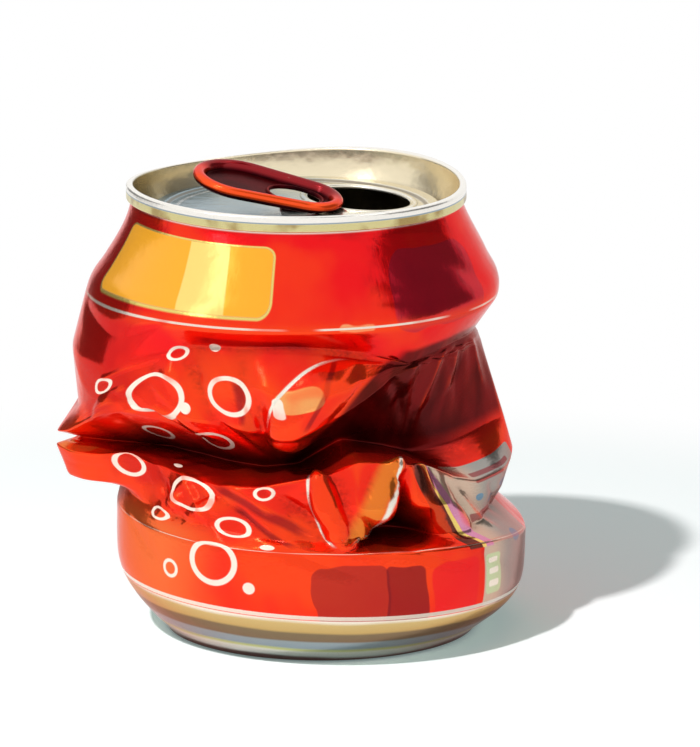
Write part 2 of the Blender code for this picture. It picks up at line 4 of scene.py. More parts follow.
import bmesh
import bpy
import numpy as np
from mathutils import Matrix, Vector


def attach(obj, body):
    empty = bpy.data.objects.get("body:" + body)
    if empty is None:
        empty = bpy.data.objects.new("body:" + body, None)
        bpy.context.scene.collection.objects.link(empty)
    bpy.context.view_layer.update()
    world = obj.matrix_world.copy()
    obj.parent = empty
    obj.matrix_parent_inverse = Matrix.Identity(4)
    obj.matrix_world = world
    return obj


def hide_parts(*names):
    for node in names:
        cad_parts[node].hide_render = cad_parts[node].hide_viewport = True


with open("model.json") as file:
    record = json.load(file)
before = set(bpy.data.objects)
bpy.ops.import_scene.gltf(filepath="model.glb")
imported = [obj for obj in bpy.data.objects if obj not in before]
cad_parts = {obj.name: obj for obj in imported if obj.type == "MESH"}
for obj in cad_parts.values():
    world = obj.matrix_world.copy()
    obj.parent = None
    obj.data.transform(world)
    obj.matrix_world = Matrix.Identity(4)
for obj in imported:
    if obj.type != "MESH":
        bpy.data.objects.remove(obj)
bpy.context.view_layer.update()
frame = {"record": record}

mm = 0.001
perDegree = 0.576  # millimetres across the flat sheet for one degree round the can
sheetTall = 160.0  # millimetres of the flat sheet's height in the map of the finishes
sheetLow = 40.0  # how many of these are below the sheet's zero
standPoint = frame["record"]["mounts"][0]["pos_m"]
axisX = standPoint[0]  # the stand ring's axis, in metres
axisY = standPoint[1] + 24.5 * mm


# Small helpers

def clamp(x, low, high):
    return np.minimum(np.maximum(x, low), high)


def ease(x):
    t = clamp(x, 0.0, 1.0)
    return t * t * (3.0 - 2.0 * t)


def srgb(text):
    parts = [int(text[i:i + 2], 16) / 255 for i in (0, 2, 4)]
    return tuple(p / 12.92 if p <= 0.04045 else ((p + 0.055) / 1.055) ** 2.4 for p in parts)


def turns(count, first=0.0):  # angles all round
    return [2.0 * math.pi * (j + first) / count for j in range(count)]


def onFloor(points):  # from millimetres round the stand ring's axis to the frame's metres
    return points * mm + np.array([axisX, axisY, 0.0])


def addObject(name, data):
    thing = bpy.data.objects.new(name, data)
    bpy.context.scene.collection.objects.link(thing)
    return thing


# Node writing

class Wire:
    def __init__(self, kit, socket):
        self.kit = kit
        self.socket = socket

    def calc(self, operation, *values):
        return self.kit.node("ShaderNodeMath", {"operation": operation}, dict(enumerate(values)))

    def __add__(self, other):
        return self.calc("ADD", self, other)

    def __radd__(self, other):
        return self.calc("ADD", other, self)

    def __sub__(self, other):
        return self.calc("SUBTRACT", self, other)

    def __rsub__(self, other):
        return self.calc("SUBTRACT", other, self)

    def __mul__(self, other):
        return self.calc("MULTIPLY", self, other)

    def __rmul__(self, other):
        return self.calc("MULTIPLY", other, self)

    def __pow__(self, other):
        return self.calc("POWER", self, other)

    def size(self):
        return self.calc("ABSOLUTE", self)

    def least(self, other):
        return self.calc("MINIMUM", self, other)

    def most(self, other):
        return self.calc("MAXIMUM", self, other)

    def step(self, low, high):
        inputs = {"Value": self, "From Min": low, "From Max": high}
        return self.kit.node("ShaderNodeMapRange", {"interpolation_type": "SMOOTHSTEP"}, inputs)

    def close(self, place, outer, inner):  # 1 within inner of a place, 0 beyond outer
        return (self - place).size().step(outer, inner)

    def other(self, name):
        return Wire(self.kit, self.socket.node.outputs[name])


class Kit:
    def __init__(self, tree):
        self.tree = tree

    def node(self, kind, settings=None, inputs=None, output=0):
        made = self.tree.nodes.new(kind)
        for key, value in (settings or {}).items():
            if key == "stops":
                ends = made.color_ramp.elements
                for element, (place, colour) in zip(ends, (value[0], value[-1])):
                    element.position = place
                    element.color = (*srgb(colour), 1.0)
                for place, colour in value[1:-1]:
                    ends.new(place).color = (*srgb(colour), 1.0)
            else:
                setattr(made, key, value)
        for key, value in (inputs or {}).items():
            self.plug(made.inputs[key], value)
        return Wire(self, made.outputs[output])

    def plug(self, socket, value):
        if isinstance(value, str):
            value = srgb(value)
        if isinstance(value, Wire):
            self.tree.links.new(value.socket, socket)
        elif isinstance(value, tuple) and len(value) == 3 and socket.type == "RGBA":
            socket.default_value = (*value, 1.0)
        else:
            socket.default_value = value

    def mix(self, share, first, second):
        return self.node("ShaderNodeMix", {"data_type": "RGBA"}, {0: share, 6: first, 7: second}, 2)

    def noise(self, where, scale, detail=3.0, rough=0.5):
        inputs = {"Vector": where, "Scale": scale, "Detail": detail, "Roughness": rough}
        return self.node("ShaderNodeTexNoise", {}, inputs)

    def attribute(self, name, output="Fac"):
        return self.node("ShaderNodeAttribute", {"attribute_name": name}, {}, output)

    def split(self, vector):
        x = self.node("ShaderNodeSeparateXYZ", {}, {0: vector})
        return x, x.other("Y"), x.other("Z")

    def stretch(self, where, sx, sy, sz):
        return self.node("ShaderNodeVectorMath", {"operation": "MULTIPLY"}, {0: where, 1: (sx, sy, sz)})

    def bumpFrom(self, height, strength, distance, under=None):
        inputs = {"Height": height, "Strength": strength, "Distance": distance}
        if under is not None:
            inputs["Normal"] = under
        return self.node("ShaderNodeBump", {}, inputs)


class Finish(Kit):
    def __init__(self, name, **fixed):
        self.material = bpy.data.materials.new(name)
        self.material.use_nodes = True
        super().__init__(self.material.node_tree)
        self.shader = self.tree.nodes["Principled BSDF"]
        self.feed(**fixed)

    def feed(self, **wires):
        for key, wire in wires.items():
            self.plug(self.shader.inputs[key.replace("_", " ")], wire)
        return self.material


# The crushed wall

can = {
    "radius": 33.0,
    "shoulderHeight": 54.8,
    "bandHeight": 19.6,
    "rimHeight": 72.8,
    "upperShift": -4.4,
    "neckShift": -3.95,
    "rimTilt": 2.2,
    "rimWarp": 1.2,
    "seamRadius": 27.2,
    "seamHeight": 2.5,
    "standRadius": 24.5,
    "domeHeight": 10.8,
    "bandLean": 1.3,
    "columns": 320,
    "rowStep": 0.4,
    "neck": (  # share of the radius, share of the climb to the rim, height on the flat sheet
        (0.816, 0.77, 108.8), (0.861, 0.605, 105.5), (0.921, 0.43, 102.4), (0.976, 0.26, 99.9),
        (1.0, 0.13, 97.9)),
}

# Rings of the folds from the shoulder down: height on the flat sheet, middle, knots (angle, reach, height)
foldRings = (
    (96.6, -4.4, (
        (-180, 0, 36.0), (-90, 0.4, 35.3), (0, 0, 35.0), (90, -0.1, 35.4))),
    (90.0, -4.4, (
        (-180, -5, 31.4), (-150, -3, 30.4), (-120, 0, 28.9), (-90, 2.6, 26.9), (-75, 2.5, 26.4),
        (-60, 1.5, 26.4), (-45, -1.5, 29.4), (-30, -3.5, 31.6), (0, -3.7, 32.2), (15, -3.7, 31.6),
        (22.5, -3.5, 30.7), (37.5, -3, 28.6), (45, -3.4, 29.2), (60, -3.7, 30), (90, -4, 29.9),
        (105, -5, 30.4), (120, -6, 30.9), (150, -6.5, 31.4))),
    (83.0, -4.4, (
        (-180, -3, 26.4), (-150, -2.5, 25.4), (-120, 0, 24.4), (-105, 0.5, 20.4), (-90, 1.7, 17.1),
        (-82.5, 1.6, 17.9), (-75, 1.6, 19.4), (-60, 1.4, 22.9), (-52.5, 0.4, 25), (-45, -2, 26.4),
        (-37.5, -0.8, 26.9), (-30, -3.4, 27.2), (-22.5, -2, 26.9), (-15, -3, 26.4), (-7.5, -0.4, 26),
        (0, 0.3, 25.4), (15, -0.4, 26.6), (22.5, -1.4, 27.4), (30, -2.4, 28.3), (37.5, -2.9, 28.2),
        (45, -3.6, 28.7), (60, -3.7, 29), (90, -3.4, 28.6), (105, -3, 27.9), (120, -3, 27.4),
        (150, -3, 26.4))),
    (74.0, -4.4, (
        (-180, -0.5, 21.2), (-150, 0, 20.9), (-120, 1, 18.4), (-105, 2.5, 15.4), (-90, 5.4, 12.2),
        (-82.5, 3.8, 13.2), (-75, 2, 15.4), (-60, 1, 18.9), (-45, -1, 20.7), (-37.5, -3, 20.4),
        (-30, -1.4, 20), (-22.5, -3.4, 19.6), (-13, -2.6, 18.8), (-9, -5.2, 18.6), (-6, -1.2, 18.4),
        (0, -0.3, 18.4), (7.5, -1, 19.9), (15, -1.4, 21.9), (30, -2.6, 26.4), (37.5, -3.2, 27.8),
        (60, -4.3, 27.4), (75, -3.9, 27.7), (90, -2.9, 27.2), (105, -2, 25.2), (120, -1, 23.2),
        (150, 0, 21.2))),
    (57.0, -3.5, (
        (-180, -10, 13.4), (-150, -9, 13.4), (-120, -6, 12.9), (-105, -1, 11.9), (-90, 2.6, 11.3),
        (-82.5, -2, 11.7), (-75, -6, 12), (-60, -10, 12.4), (-45, -12, 11.9), (-15, -12.5, 11),
        (0, -12, 11.8), (15, -8, 16.4), (22.5, -10, 15.4), (37.5, -11.5, 13.7), (52.5, -11.5, 11.9),
        (67.5, -7, 12.7), (82.5, -2, 14.7), (90, 0.2, 15), (105, -5, 15), (120, -9, 15),
        (150, -11, 14.4))),
    (42.0, -2.0, (
        (-180, 0, 8.2), (-150, 0, 8.2), (-120, 2, 8.2), (-105, 5, 8.8), (-90, 8, 10.2), (-82.5, 5.6, 10),
        (-75, 2.2, 10.4), (-67.5, -1.5, 11.4), (-52.5, -5, 10), (-30, -4.5, 9), (-15, -3.5, 9.6),
        (0, -2.2, 11.6), (7.5, -2.6, 12.4), (15, -1.6, 14), (24, -1, 13.6), (31, -1.2, 12.8),
        (34.5, -3.4, 12.4), (38, -2.6, 12.2), (41, -5.6, 11.6), (45.5, -3.4, 10.4), (52.5, -3.4, 8.8),
        (60, -2.2, 7.6), (75, -0.2, 8.2), (90, 0, 9.7), (105, -1, 10.2), (120, -1, 9.2), (150, 0, 8.2))),
    (35.0, -1.0, (
        (-180, -1.2, 5.4), (-150, -1.5, 5.9), (-120, -0.5, 5.9), (-105, 2.4, 5.6), (-90, 7, 4.9),
        (-82.5, 4.5, 5.2), (-75, 0.8, 5.8), (-60, -3, 6.9), (-52.5, -3.5, 6.4), (-45, -2.5, 6.2),
        (-37.5, -3.5, 5.9), (-30, -2.5, 5.8), (-22.5, -3.5, 5.9), (-15, -2.5, 5.9), (-7.5, -4, 6.4),
        (-2, -3, 6.6), (2, -1.2, 6.9), (7.5, -2, 7), (14, -0.5, 6.9), (21, -1, 6.6), (24.5, -6.5, 6.3),
        (28, -7.5, 6.2), (31, -2.6, 6), (35, -1.6, 5.8), (43, -2.2, 5.4), (52.5, -3.4, 4.6),
        (60, -3, 3.9),
        (75, -2, 5), (90, -3.1, 4.7), (105, -3, 6.4), (120, -2.4, 5.9), (150, -1.4, 5.4))),
    (27.5, 0.0, (
        (-180, -1.5, 2.4), (-150, -2, 3.4), (-120, -2, 4.4), (-90, -0.9, 5.2), (-75, -1.3, 4.6),
        (-60, -1.5, 3.4), (-45, -2, 2.9), (-15, -1.5, 1.9), (0, -2.4, 1.9), (6.5, -0.8, 1.2),
        (11, -3.6, 1.2), (15, -9.5, 1.3), (22.5, -11, 1.2), (31, -11, 1), (35.5, -9, 0.8),
        (39.5, -3.8, 0.6),
        (46, -2.6, 0.5), (56, -3.6, 0.6), (67.5, -4.5, 1.4), (90, -5.4, 2.2), (105, -5, 1.9),
        (120, -4, 1.9), (150, -2, 2.4))),
    (21.0, 0.0, (
        (-180, 0, 0), (-90, 0, 1.4), (-60, 0, 0.9), (-30, 0, 0.2), (0, 0, 0), (30, 0, -0.4),
        (60, 0, -1.6), (90, 0.2, -3.4), (120, 0, -1.6))),
)


def upperPose(x, y, z, amount=1.0):  # from the middle of the rim's top to its place on the can
    far = clamp((np.hypot(x, y) / can["seamRadius"] - 0.72) / 0.28, 0.0, 1.2)
    a = np.arctan2(x, -y)
    back = 0.5 * (1.0 - np.cos(a))
    rise = -can["rimWarp"] * far * far * back * (np.sin(2.0 * a) + 0.35) * amount
    tilt = math.radians(can["rimTilt"]) * amount
    z = z + rise
    turnedY = y * math.cos(tilt) - z * math.sin(tilt)
    turnedZ = y * math.sin(tilt) + z * math.cos(tilt)
    return x + can["neckShift"], turnedY, turnedZ + can["rimHeight"]


def ringFromKnots(knots, angles):
    a = np.array([k[0] for k in knots] + [knots[0][0] + 360.0])
    reach = np.array([k[1] for k in knots] + [knots[0][1]])
    height = np.array([k[2] for k in knots] + [knots[0][2]])
    return np.interp(angles, a, reach), np.interp(angles, a, height)


def controlRows(angles):
    rad = np.radians(angles)
    rows = []
    drop = can["rimHeight"] - can["shoulderHeight"]
    wall = can["seamRadius"] - 0.9
    for depth, flat in ((-1.9, 112.6), (-2.6, 111.9), (-3.4, 111.1)):
        reach = wall + 0.08 + 0.25 * max(0.0, -depth - 2.6)
        x, y, z = upperPose(reach * np.sin(rad), -reach * np.cos(rad), np.full(len(rad), depth))
        rows.append((flat, x, y, z))
    for share, climb, flat in can["neck"]:
        left = ease((-np.sin(rad) - 0.2) / 0.8)
        reach = can["radius"] * share - 1.1 * left * math.sin(math.pi * ease(climb))
        depth = np.full(len(rad), -drop * (1.0 - climb))
        x, y, z = upperPose(reach * np.sin(rad), -reach * np.cos(rad), depth, 0.6 + 0.4 * climb)
        x = x + (can["upperShift"] - can["neckShift"]) * (1.0 - climb)
        rows.append((flat, x, y, z))
    for flat, middle, knots in foldRings:
        reach, height = ringFromKnots(knots, angles)
        radius = can["radius"] + reach
        z = can["bandHeight"] + height
        rows.append((flat, middle + radius * np.sin(rad), -radius * np.cos(rad), z))
    r, s, dome = can["radius"], can["standRadius"], can["domeHeight"]
    step = r - s
    base = (
        (r + 0.1, 14.5), (r, 10.4), (r - 0.10 * step, 7.8), (r - 0.34 * step, 5.2),
        (r - 0.62 * step, 2.9),
        (r - 0.88 * step, 1.0), (s + 0.4, 0.02), (s - 0.4, 0.02), (s - 1.5, 1.0), (s - 2.1, 0.42 * dome),
        (s - 3.2, 0.58 * dome), (0.66 * s, 0.8 * dome), (0.36 * s, 0.95 * dome), (0.02, dome))
    flat = 15.2
    last = None
    for reach, height in base:
        if last:
            flat -= math.hypot(reach - last[0], height - last[1])
        last = (reach, height)
        lean = can["bandLean"] * ease(height / 9.0) * ease((can["bandHeight"] - height) / 9.0)
        rows.append((flat, reach * np.sin(rad), -reach * np.cos(rad), height - lean * np.sin(rad)))
    return rows


def blurDown(grid, heights, widths):  # blurs along the sheet's height with its own width at each row
    gap = heights[:, None] - heights[None, :]
    weights = np.exp(-0.5 * (gap / widths[:, None]) ** 2) * np.abs(np.gradient(heights))[None, :]
    weights /= weights.sum(1, keepdims=True)
    return np.einsum("ij,jkc->ikc", weights, grid)


def blurRound(grid, degrees):
    n = grid.shape[1]
    gap = (np.arange(n) + n // 2) % n - n // 2
    kernel = np.exp(-0.5 * (gap * 360.0 / n / degrees) ** 2)
    kernel /= kernel.sum()
    return np.real(np.fft.ifft(np.fft.fft(grid, axis=1) * np.fft.fft(kernel)[None, :, None], axis=1))


def gridNormals(grid):
    across = np.roll(grid, -1, 1) - np.roll(grid, 1, 1)
    down = np.gradient(grid, axis=0)
    normal = np.cross(down, across)
    return normal / np.maximum(np.linalg.norm(normal, axis=2, keepdims=True), 1e-9)


# Small creases on the sheet: (angle, height) to (angle, height), depth inward in mm, half width in mm
smallCreases = (
    (-80, 96, -52, 93, 0.35, 2.2), (-52, 93, -36, 97, 0.35, 1.8), (-62, 86, -40, 89, -0.4, 1.8),
    (-60, 82, -34, 66, 0.6, 2.4), (-48, 84, -26, 66, -0.5, 2.2), (-36, 88, -12, 62, 0.6, 2.4),
    (-22, 90, -8, 70, -0.4, 2.0), (24, 90, 36, 86, -0.5, 1.8), (10, 89, 30, 88, 0.45, 1.6),
    (38, 88, 48, 60, 0.5, 2.6), (54, 86, 50, 62, -0.4, 2.2), (62, 86, 70, 62, 0.6, 3.0),
    (74, 84, 82, 64, -0.4, 2.6), (30, 74, 44, 62, 0.4, 2.4), (-60, 46, -48, 26, 0.6, 2.4),
    (-46, 44, -30, 24, -0.5, 2.2), (-38, 44, -12, 26, 0.6, 2.4), (-26, 43, 0, 27, -0.5, 2.2),
    (-12, 40, 4, 29, 0.45, 2.0), (2, 40, 8, 25, 0.5, 1.8), (14, 42, 9, 24, -0.4, 1.6),
    (22, 40, 10, 23, 0.35, 1.6),
    (46, 42, 54, 30, 0.5, 1.6), (52, 38, 64, 24, -0.6, 2.0), (66, 40, 74, 26, 0.5, 2.2),
    (40, 33, 50, 24, 0.4, 1.4), (36, 30, 46, 23, -0.3, 1.4), (-12, 22, 10, 17, 0.2, 2.4),
    (22, 22, 46, 17, 0.25, 2.6),
    (-70, 22, -50, 15, 0.2, 2.6), (50, 19, 78, 12, 0.3, 3.0), (-40, 104, -10, 99, 0.12, 3.5),
    (40, 108, 72, 99, 0.3, 4.0), (20, 104, 44, 98, 0.15, 3.5),
)


# Raised leaves on the sheet: (angle, height) to (angle, height), half width, rise
leaves = (
    (6, 22.5, 2.2, 46, 2.8, 2.3), (6.5, 23, 30, 46, 3.0, 2.5), (-7, 72, 20, 88, 6.0, 1.3),
    (-9, 70, 6, 66, 3.2, 0.8),
    (-56, 24, -44, 38, 2.6, 0.8), (-44, 25, -30, 39, 2.8, 0.9), (44, 24, 37, 36, 2.4, 0.9),
    (52, 26, 47, 36, 2.2, 0.8),
    (-68, 74, -52, 82, 3.4, 0.7), (-30, 66, -44, 76, 2.8, 0.8), (34, 66, 46, 84, 4.0, 0.5),
    (60, 66, 66, 84, 4.2, 0.6),
)


def alongLine(across, up, a0, h0, a1, h1):  # the share of a line's length, and the way from its start
    line = np.array([(a1 - a0) * perDegree, h1 - h0])
    x, y = across - a0 * perDegree, up - h0
    return (x * line[0] + y * line[1]) / (line @ line), x, y, line


def creaseField(across, up):
    total = np.zeros_like(across)
    for a0, h0, a1, h1, half, rise in leaves:
        t, x, y, line = alongLine(across, up, a0, h0, a1, h1)
        away = np.abs(x * line[1] - y * line[0]) / np.hypot(*line)
        width = half * np.sin(math.pi * clamp(t, 0.0, 1.0)) ** 0.75 + 1e-6
        crown = clamp(1.0 - (away / width) ** 1.5, 0.0, 1.0) * clamp(width / half, 0.0, 1.0)
        total += rise * crown * (t > 0.0) * (t < 1.0)
    rng = np.random.RandomState(7)
    lines = list(smallCreases)
    for _ in range(70):
        a = rng.uniform(-180, 180)
        h = rng.uniform(26, 92)
        turn = rng.uniform(-1.1, 1.1)
        half = rng.uniform(3.0, 9.0)
        side = half * math.cos(turn) / perDegree
        rise = half * math.sin(turn)
        deep, wide = rng.uniform(-0.22, 0.26), rng.uniform(1.3, 2.6)
        lines.append((a - side, h - rise, a + side, h + rise, deep, wide))
    for a0, h0, a1, h1, depth, half in lines:
        for wrap in (-360, 0, 360):
            if max(a0, a1) + wrap < -191 or min(a0, a1) + wrap > 191:
                continue
            t, x, y, line = alongLine(across, up, a0 + wrap, h0, a1 + wrap, h1)
            t = clamp(t, 0.0, 1.0)
            away = np.hypot(x - t * line[0], y - t * line[1])
            taper = 1.0 - np.abs(2.0 * t - 1.0) ** 4
            profile = clamp(1.0 - away / half, 0.0, 1.0) ** 1.6
            total -= depth * profile * (0.25 + 0.75 * taper) * (away < half)
    return total


def rowHeights(top, bottom, step):  # close rows over the folds, wider ones on the neck and the base
    heights = [top]
    while heights[-1] > bottom:
        h = heights[-1]
        spread = 1.0 + 0.9 * float(ease((h - 99.0) / 2.0)) + 1.4 * float(ease((17.0 - h) / 4.0))
        heights.append(h - step * spread)
    return np.array(heights[:-1])


def wallGrid(columns, rowStep, top=200.0):
    angles = -180.0 + 360.0 * np.arange(columns) / columns
    rows = controlRows(angles)
    flats = np.array([r[0] for r in rows])
    points = np.array([np.stack(r[1:], -1) for r in rows])
    heights = rowHeights(min(flats[0], top), flats[-1], rowStep)
    grid = np.empty((len(heights), columns, 3))
    for j in range(columns):
        for c in range(3):
            grid[:, j, c] = np.interp(-heights, -flats, points[:, j, c])
    widths = np.full(len(heights), 0.42)
    widths += 2.1 * ease((heights - 98.5) / 3.0)
    widths += 1.0 * ease((19.0 - heights) / 3.0) * ease((heights - 3.0) / 4.0)
    widths -= 0.25 * ease((2.0 - heights) / 3.0) * ease((heights + 3.0) / 3.0)
    widths[0] = 0.05
    first = np.array(grid)
    grid = blurDown(grid, heights, widths)
    grid = blurRound(grid, 1.05)
    hold = ease((heights - 110.8) / 1.2)[:, None, None]
    grid = grid * (1.0 - hold) + first * hold
    across, up = np.meshgrid(angles * perDegree, heights)
    field = creaseField(across, up) * ease((up - 8.0) / 6.0)
    return heights, grid + gridNormals(grid) * field[:, :, None]


def gridMesh(name, heights, grid, inward=0.0):
    rows, columns = grid.shape[:2]
    vertices = onFloor(grid - gridNormals(grid) * inward).reshape(-1, 3)
    i, j = np.meshgrid(np.arange(rows - 1), np.arange(columns), indexing="ij")
    k = (j + 1) % columns
    quads = np.stack([i * columns + j, (i + 1) * columns + j, (i + 1) * columns + k, i * columns + k], -1)
    if inward > 0.0:
        quads = quads[:, :, ::-1]
    mesh = bpy.data.meshes.new(name)
    mesh.from_pydata(vertices.tolist(), [], quads.reshape(-1, 4).tolist())
    across = np.stack([j, j, j + 1, j + 1], -1) / columns
    upward = np.stack([heights[i], heights[i + 1], heights[i + 1], heights[i]], -1)
    if inward > 0.0:
        across, upward = across[:, :, ::-1], upward[:, :, ::-1]
    layer = mesh.uv_layers.new(name="sheet")
    pairs = np.stack([across, (upward + sheetLow) / sheetTall], -1).reshape(-1, 2)
    layer.data.foreach_set("uv", pairs.astype(np.float32).ravel())
    mesh.polygons.foreach_set("use_smooth", [True] * len(mesh.polygons))
    mesh.update()
    return mesh


def addField(mesh, name, values):
    field = mesh.attributes.new(name, "FLOAT", "POINT")
    field.data.foreach_set("value", values.astype(np.float32).ravel())


print("making the crushed wall")
heights, grid = wallGrid(can["columns"], can["rowStep"])
shellMesh = gridMesh("shell", heights, grid)
normals = gridNormals(grid)
near = blurRound(blurDown(grid, heights, np.full(len(heights), 1.3)), 2.4)
wide = blurRound(blurDown(grid, heights, np.full(len(heights), 5.0)), 9.0)
bend = ((near - grid) * normals).sum(-1)
sunk = ((wide - grid) * normals).sum(-1)
reach = np.hypot(grid[..., 0] + 1.5, grid[..., 1])
hull = np.array(reach)
for shift in range(-36, 37, 3):  # the widest reach within about 15 mm up or down the sheet
    hull = np.maximum(hull, np.roll(reach, shift, 0))
# deep and hollow carry the painted shade in the folds, edge the painted highlight on the ridges
inFolds = (ease((heights - 18.0) / 4.0) * ease((100.0 - heights) / 3.0))[:, None]
depth = blurRound(hull[..., None], 3.0)[..., 0] - reach
addField(shellMesh, "deep", clamp((depth - 1.6) / 8.0, 0.0, 1.0) * inFolds)
addField(shellMesh, "edge", clamp(-bend / 0.35, 0.0, 1.0) * inFolds)
addField(shellMesh, "valley", clamp(bend / 0.35, 0.0, 1.0) * inFolds)
addField(shellMesh, "hollow", clamp(sunk / 3.0, 0.0, 1.0) * inFolds)
shell = addObject("shell", shellMesh)
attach(shell, "can")
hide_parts("can_body")

inner = addObject("inner_wall", gridMesh("inner_wall", *wallGrid(200, 0.8, 106.0), 0.45))
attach(inner, "can")


# The lid

lidSizes = {
    "sheet": 0.2,
    "gap": 0.06,
    "panelDepth": 4.65,
    "panelStep": 0.45,
    "sinkDepth": 6.3,
    "mouthOffset": 12.2,
    "mouthAngle": 35.0,
    "mouthRadial": 7.2,
    "mouthAcross": 10.2,
    "beadWidth": 1.1,
    "beadRise": 0.4,
    "flapDrop": 96.0,
    "flapShrink": 0.94,
    "flapHinge": 215.0,
    "flapHingeWidth": 4.2,
    "rivetRadius": 1.6,
    "rivetHead": 2.45,
    "rivetNeck": 0.42,
    "bodySheet": 0.16,
    "columns": 144,
}


def roundedPath(path, radius, steps=4):  # turns each corner of a path into a short curve
    out = [path[0]]
    for before, corner, after in zip(path, path[1:], path[2:]):
        a = np.array(before, float)
        b = np.array(corner, float)
        c = np.array(after, float)
        la = np.linalg.norm(a - b)
        lc = np.linalg.norm(c - b)
        reach = min(radius, 0.45 * la, 0.45 * lc)
        p = b + (a - b) / la * reach
        q = b + (c - b) / lc * reach
        for s in range(steps + 1):
            t = s / steps
            out.append(tuple(p * (1 - t) ** 2 + 2 * b * t * (1 - t) + q * t * t))
    out.append(path[-1])
    return out


def sheetSides(path, half):  # both faces of a sheet that follows a path in the plane
    left = []
    right = []
    for i, point in enumerate(path):
        p = np.array(point, float)
        sides = []
        if i > 0:
            d = p - np.array(path[i - 1], float)
            sides.append(np.array([-d[1], d[0]]) / max(np.linalg.norm(d), 1e-9))
        if i < len(path) - 1:
            d = np.array(path[i + 1], float) - p
            sides.append(np.array([-d[1], d[0]]) / max(np.linalg.norm(d), 1e-9))
        total = sum(sides)
        if len(sides) == 2:
            total = total / max(1.0 + float(sides[0] @ sides[1]), 0.5)
        left.append(p + total * half)
        right.append(p - total * half)
    return left, right


def spun(name, path, half, columns):  # a closed turned sheet whose path ends on the axis
    left, right = sheetSides(path, half)
    mesh = bmesh.new()
    rings = []
    for side in (left, right):
        rows = []
        for reach, height in side[:-1]:
            spots = [(reach * math.sin(a), -reach * math.cos(a), height) for a in turns(columns)]
            rows.append([mesh.verts.new(spot) for spot in spots])
        rows.append(mesh.verts.new((0.0, 0.0, side[-1][1])))
        rings.append(rows)
    for rows in rings:
        for i in range(len(rows) - 2):
            for j in range(columns):
                k = (j + 1) % columns
                mesh.faces.new((rows[i][j], rows[i][k], rows[i + 1][k], rows[i + 1][j]))
        for j in range(columns):
            mesh.faces.new((rows[-2][j], rows[-2][(j + 1) % columns], rows[-1]))
    for j in range(columns):
        k = (j + 1) % columns
        mesh.faces.new((rings[0][0][j], rings[0][0][k], rings[1][0][k], rings[1][0][j]))
    return closed(name, mesh)


def closed(name, mesh):
    bmesh.ops.recalc_face_normals(mesh, faces=mesh.faces)
    data = bpy.data.meshes.new(name)
    mesh.to_mesh(data)
    mesh.free()
    return addObject(name, data)


def looped(name, stations):
    mesh = bmesh.new()
    rings = [[mesh.verts.new(p) for p in section] for section in stations]
    for ring, after in zip(rings, rings[1:] + rings[:1]):
        for j in range(len(ring)):
            k = (j + 1) % len(ring)
            mesh.faces.new((ring[j], ring[k], after[k], after[j]))
    return closed(name, mesh)


def slab(name, outline, low, high):
    mesh = bmesh.new()
    bottom = [mesh.verts.new((x, y, low)) for x, y in outline]
    top = [mesh.verts.new((x, y, high)) for x, y in outline]
    mesh.faces.new(bottom[::-1])
    mesh.faces.new(top)
    for j in range(len(outline)):
        k = (j + 1) % len(outline)
        mesh.faces.new((bottom[j], bottom[k], top[k], top[j]))
    return closed(name, mesh)


def thickPlate(name, rows, sheet):  # a closed plate from a grid of points along its middle
    points = np.array(rows)
    normal = np.cross(np.gradient(points, axis=0), np.gradient(points, axis=1))
    normal /= np.maximum(np.linalg.norm(normal, axis=2, keepdims=True), 1e-12)
    mesh = bmesh.new()
    layers = []
    for sign in (0.5, -0.5):
        layers.append([[mesh.verts.new(p) for p in row] for row in points + normal * sheet * sign])
    count, width = points.shape[:2]
    for layer in layers:
        for i in range(count - 1):
            for j in range(width - 1):
                mesh.faces.new((layer[i][j], layer[i][j + 1], layer[i + 1][j + 1], layer[i + 1][j]))
    edge = [(0, j) for j in range(width)] + [(i, width - 1) for i in range(1, count)]
    edge += [(count - 1, j) for j in range(width - 2, -1, -1)] + [(i, 0) for i in range(count - 2, 0, -1)]
    for here, there in zip(edge, edge[1:] + edge[:1]):
        mesh.faces.new((
            layers[0][here[0]][here[1]], layers[0][there[0]][there[1]],
            layers[1][there[0]][there[1]], layers[1][here[0]][here[1]]))
    return closed(name, mesh)


def joinBy(target, tool, operation):
    step = target.modifiers.new("join", "BOOLEAN")
    step.operation = operation
    step.solver = "EXACT"
    step.object = tool
    view = bpy.context.evaluated_depsgraph_get()
    view.update()
    result = bpy.data.meshes.new_from_object(target.evaluated_get(view))
    target.modifiers.clear()
    target.data = result
    bpy.data.objects.remove(tool)


def ovalOutline(long, wide, count, middle=(0.0, 0.0)):
    return [(middle[0] + long * math.cos(t), middle[1] + wide * math.sin(t)) for t in turns(count)]


def ovalBead(name, long, wide, count, section, place):  # a bead along an oval that place puts on its plate
    stations = []
    for t in turns(count):
        out = np.array([math.cos(t) / long, math.sin(t) / wide])
        out /= np.linalg.norm(out)
        station = []
        for reach, height in section:
            x, y = place(long * math.cos(t) + out[0] * reach, wide * math.sin(t) + out[1] * reach)
            station.append((x, y, height))
        stations.append(station)
    return looped(name, stations)


def mouthPoint(u, w):
    a = math.radians(lidSizes["mouthAngle"])
    out = lidSizes["mouthOffset"] + u
    return (out * math.cos(a) - w * math.sin(a), out * math.sin(a) + w * math.cos(a))


def mouthBead():
    half = lidSizes["beadWidth"] / 2
    base = -lidSizes["panelDepth"] + lidSizes["sheet"] / 2 - 0.05
    section = []
    for a in np.linspace(0.0, math.pi, 11):
        section.append((half + 0.12 - half * math.cos(a), base + lidSizes["beadRise"] * math.sin(a)))
    return ovalBead(
        "mouth_bead", lidSizes["mouthRadial"], lidSizes["mouthAcross"], 120, section, mouthPoint)


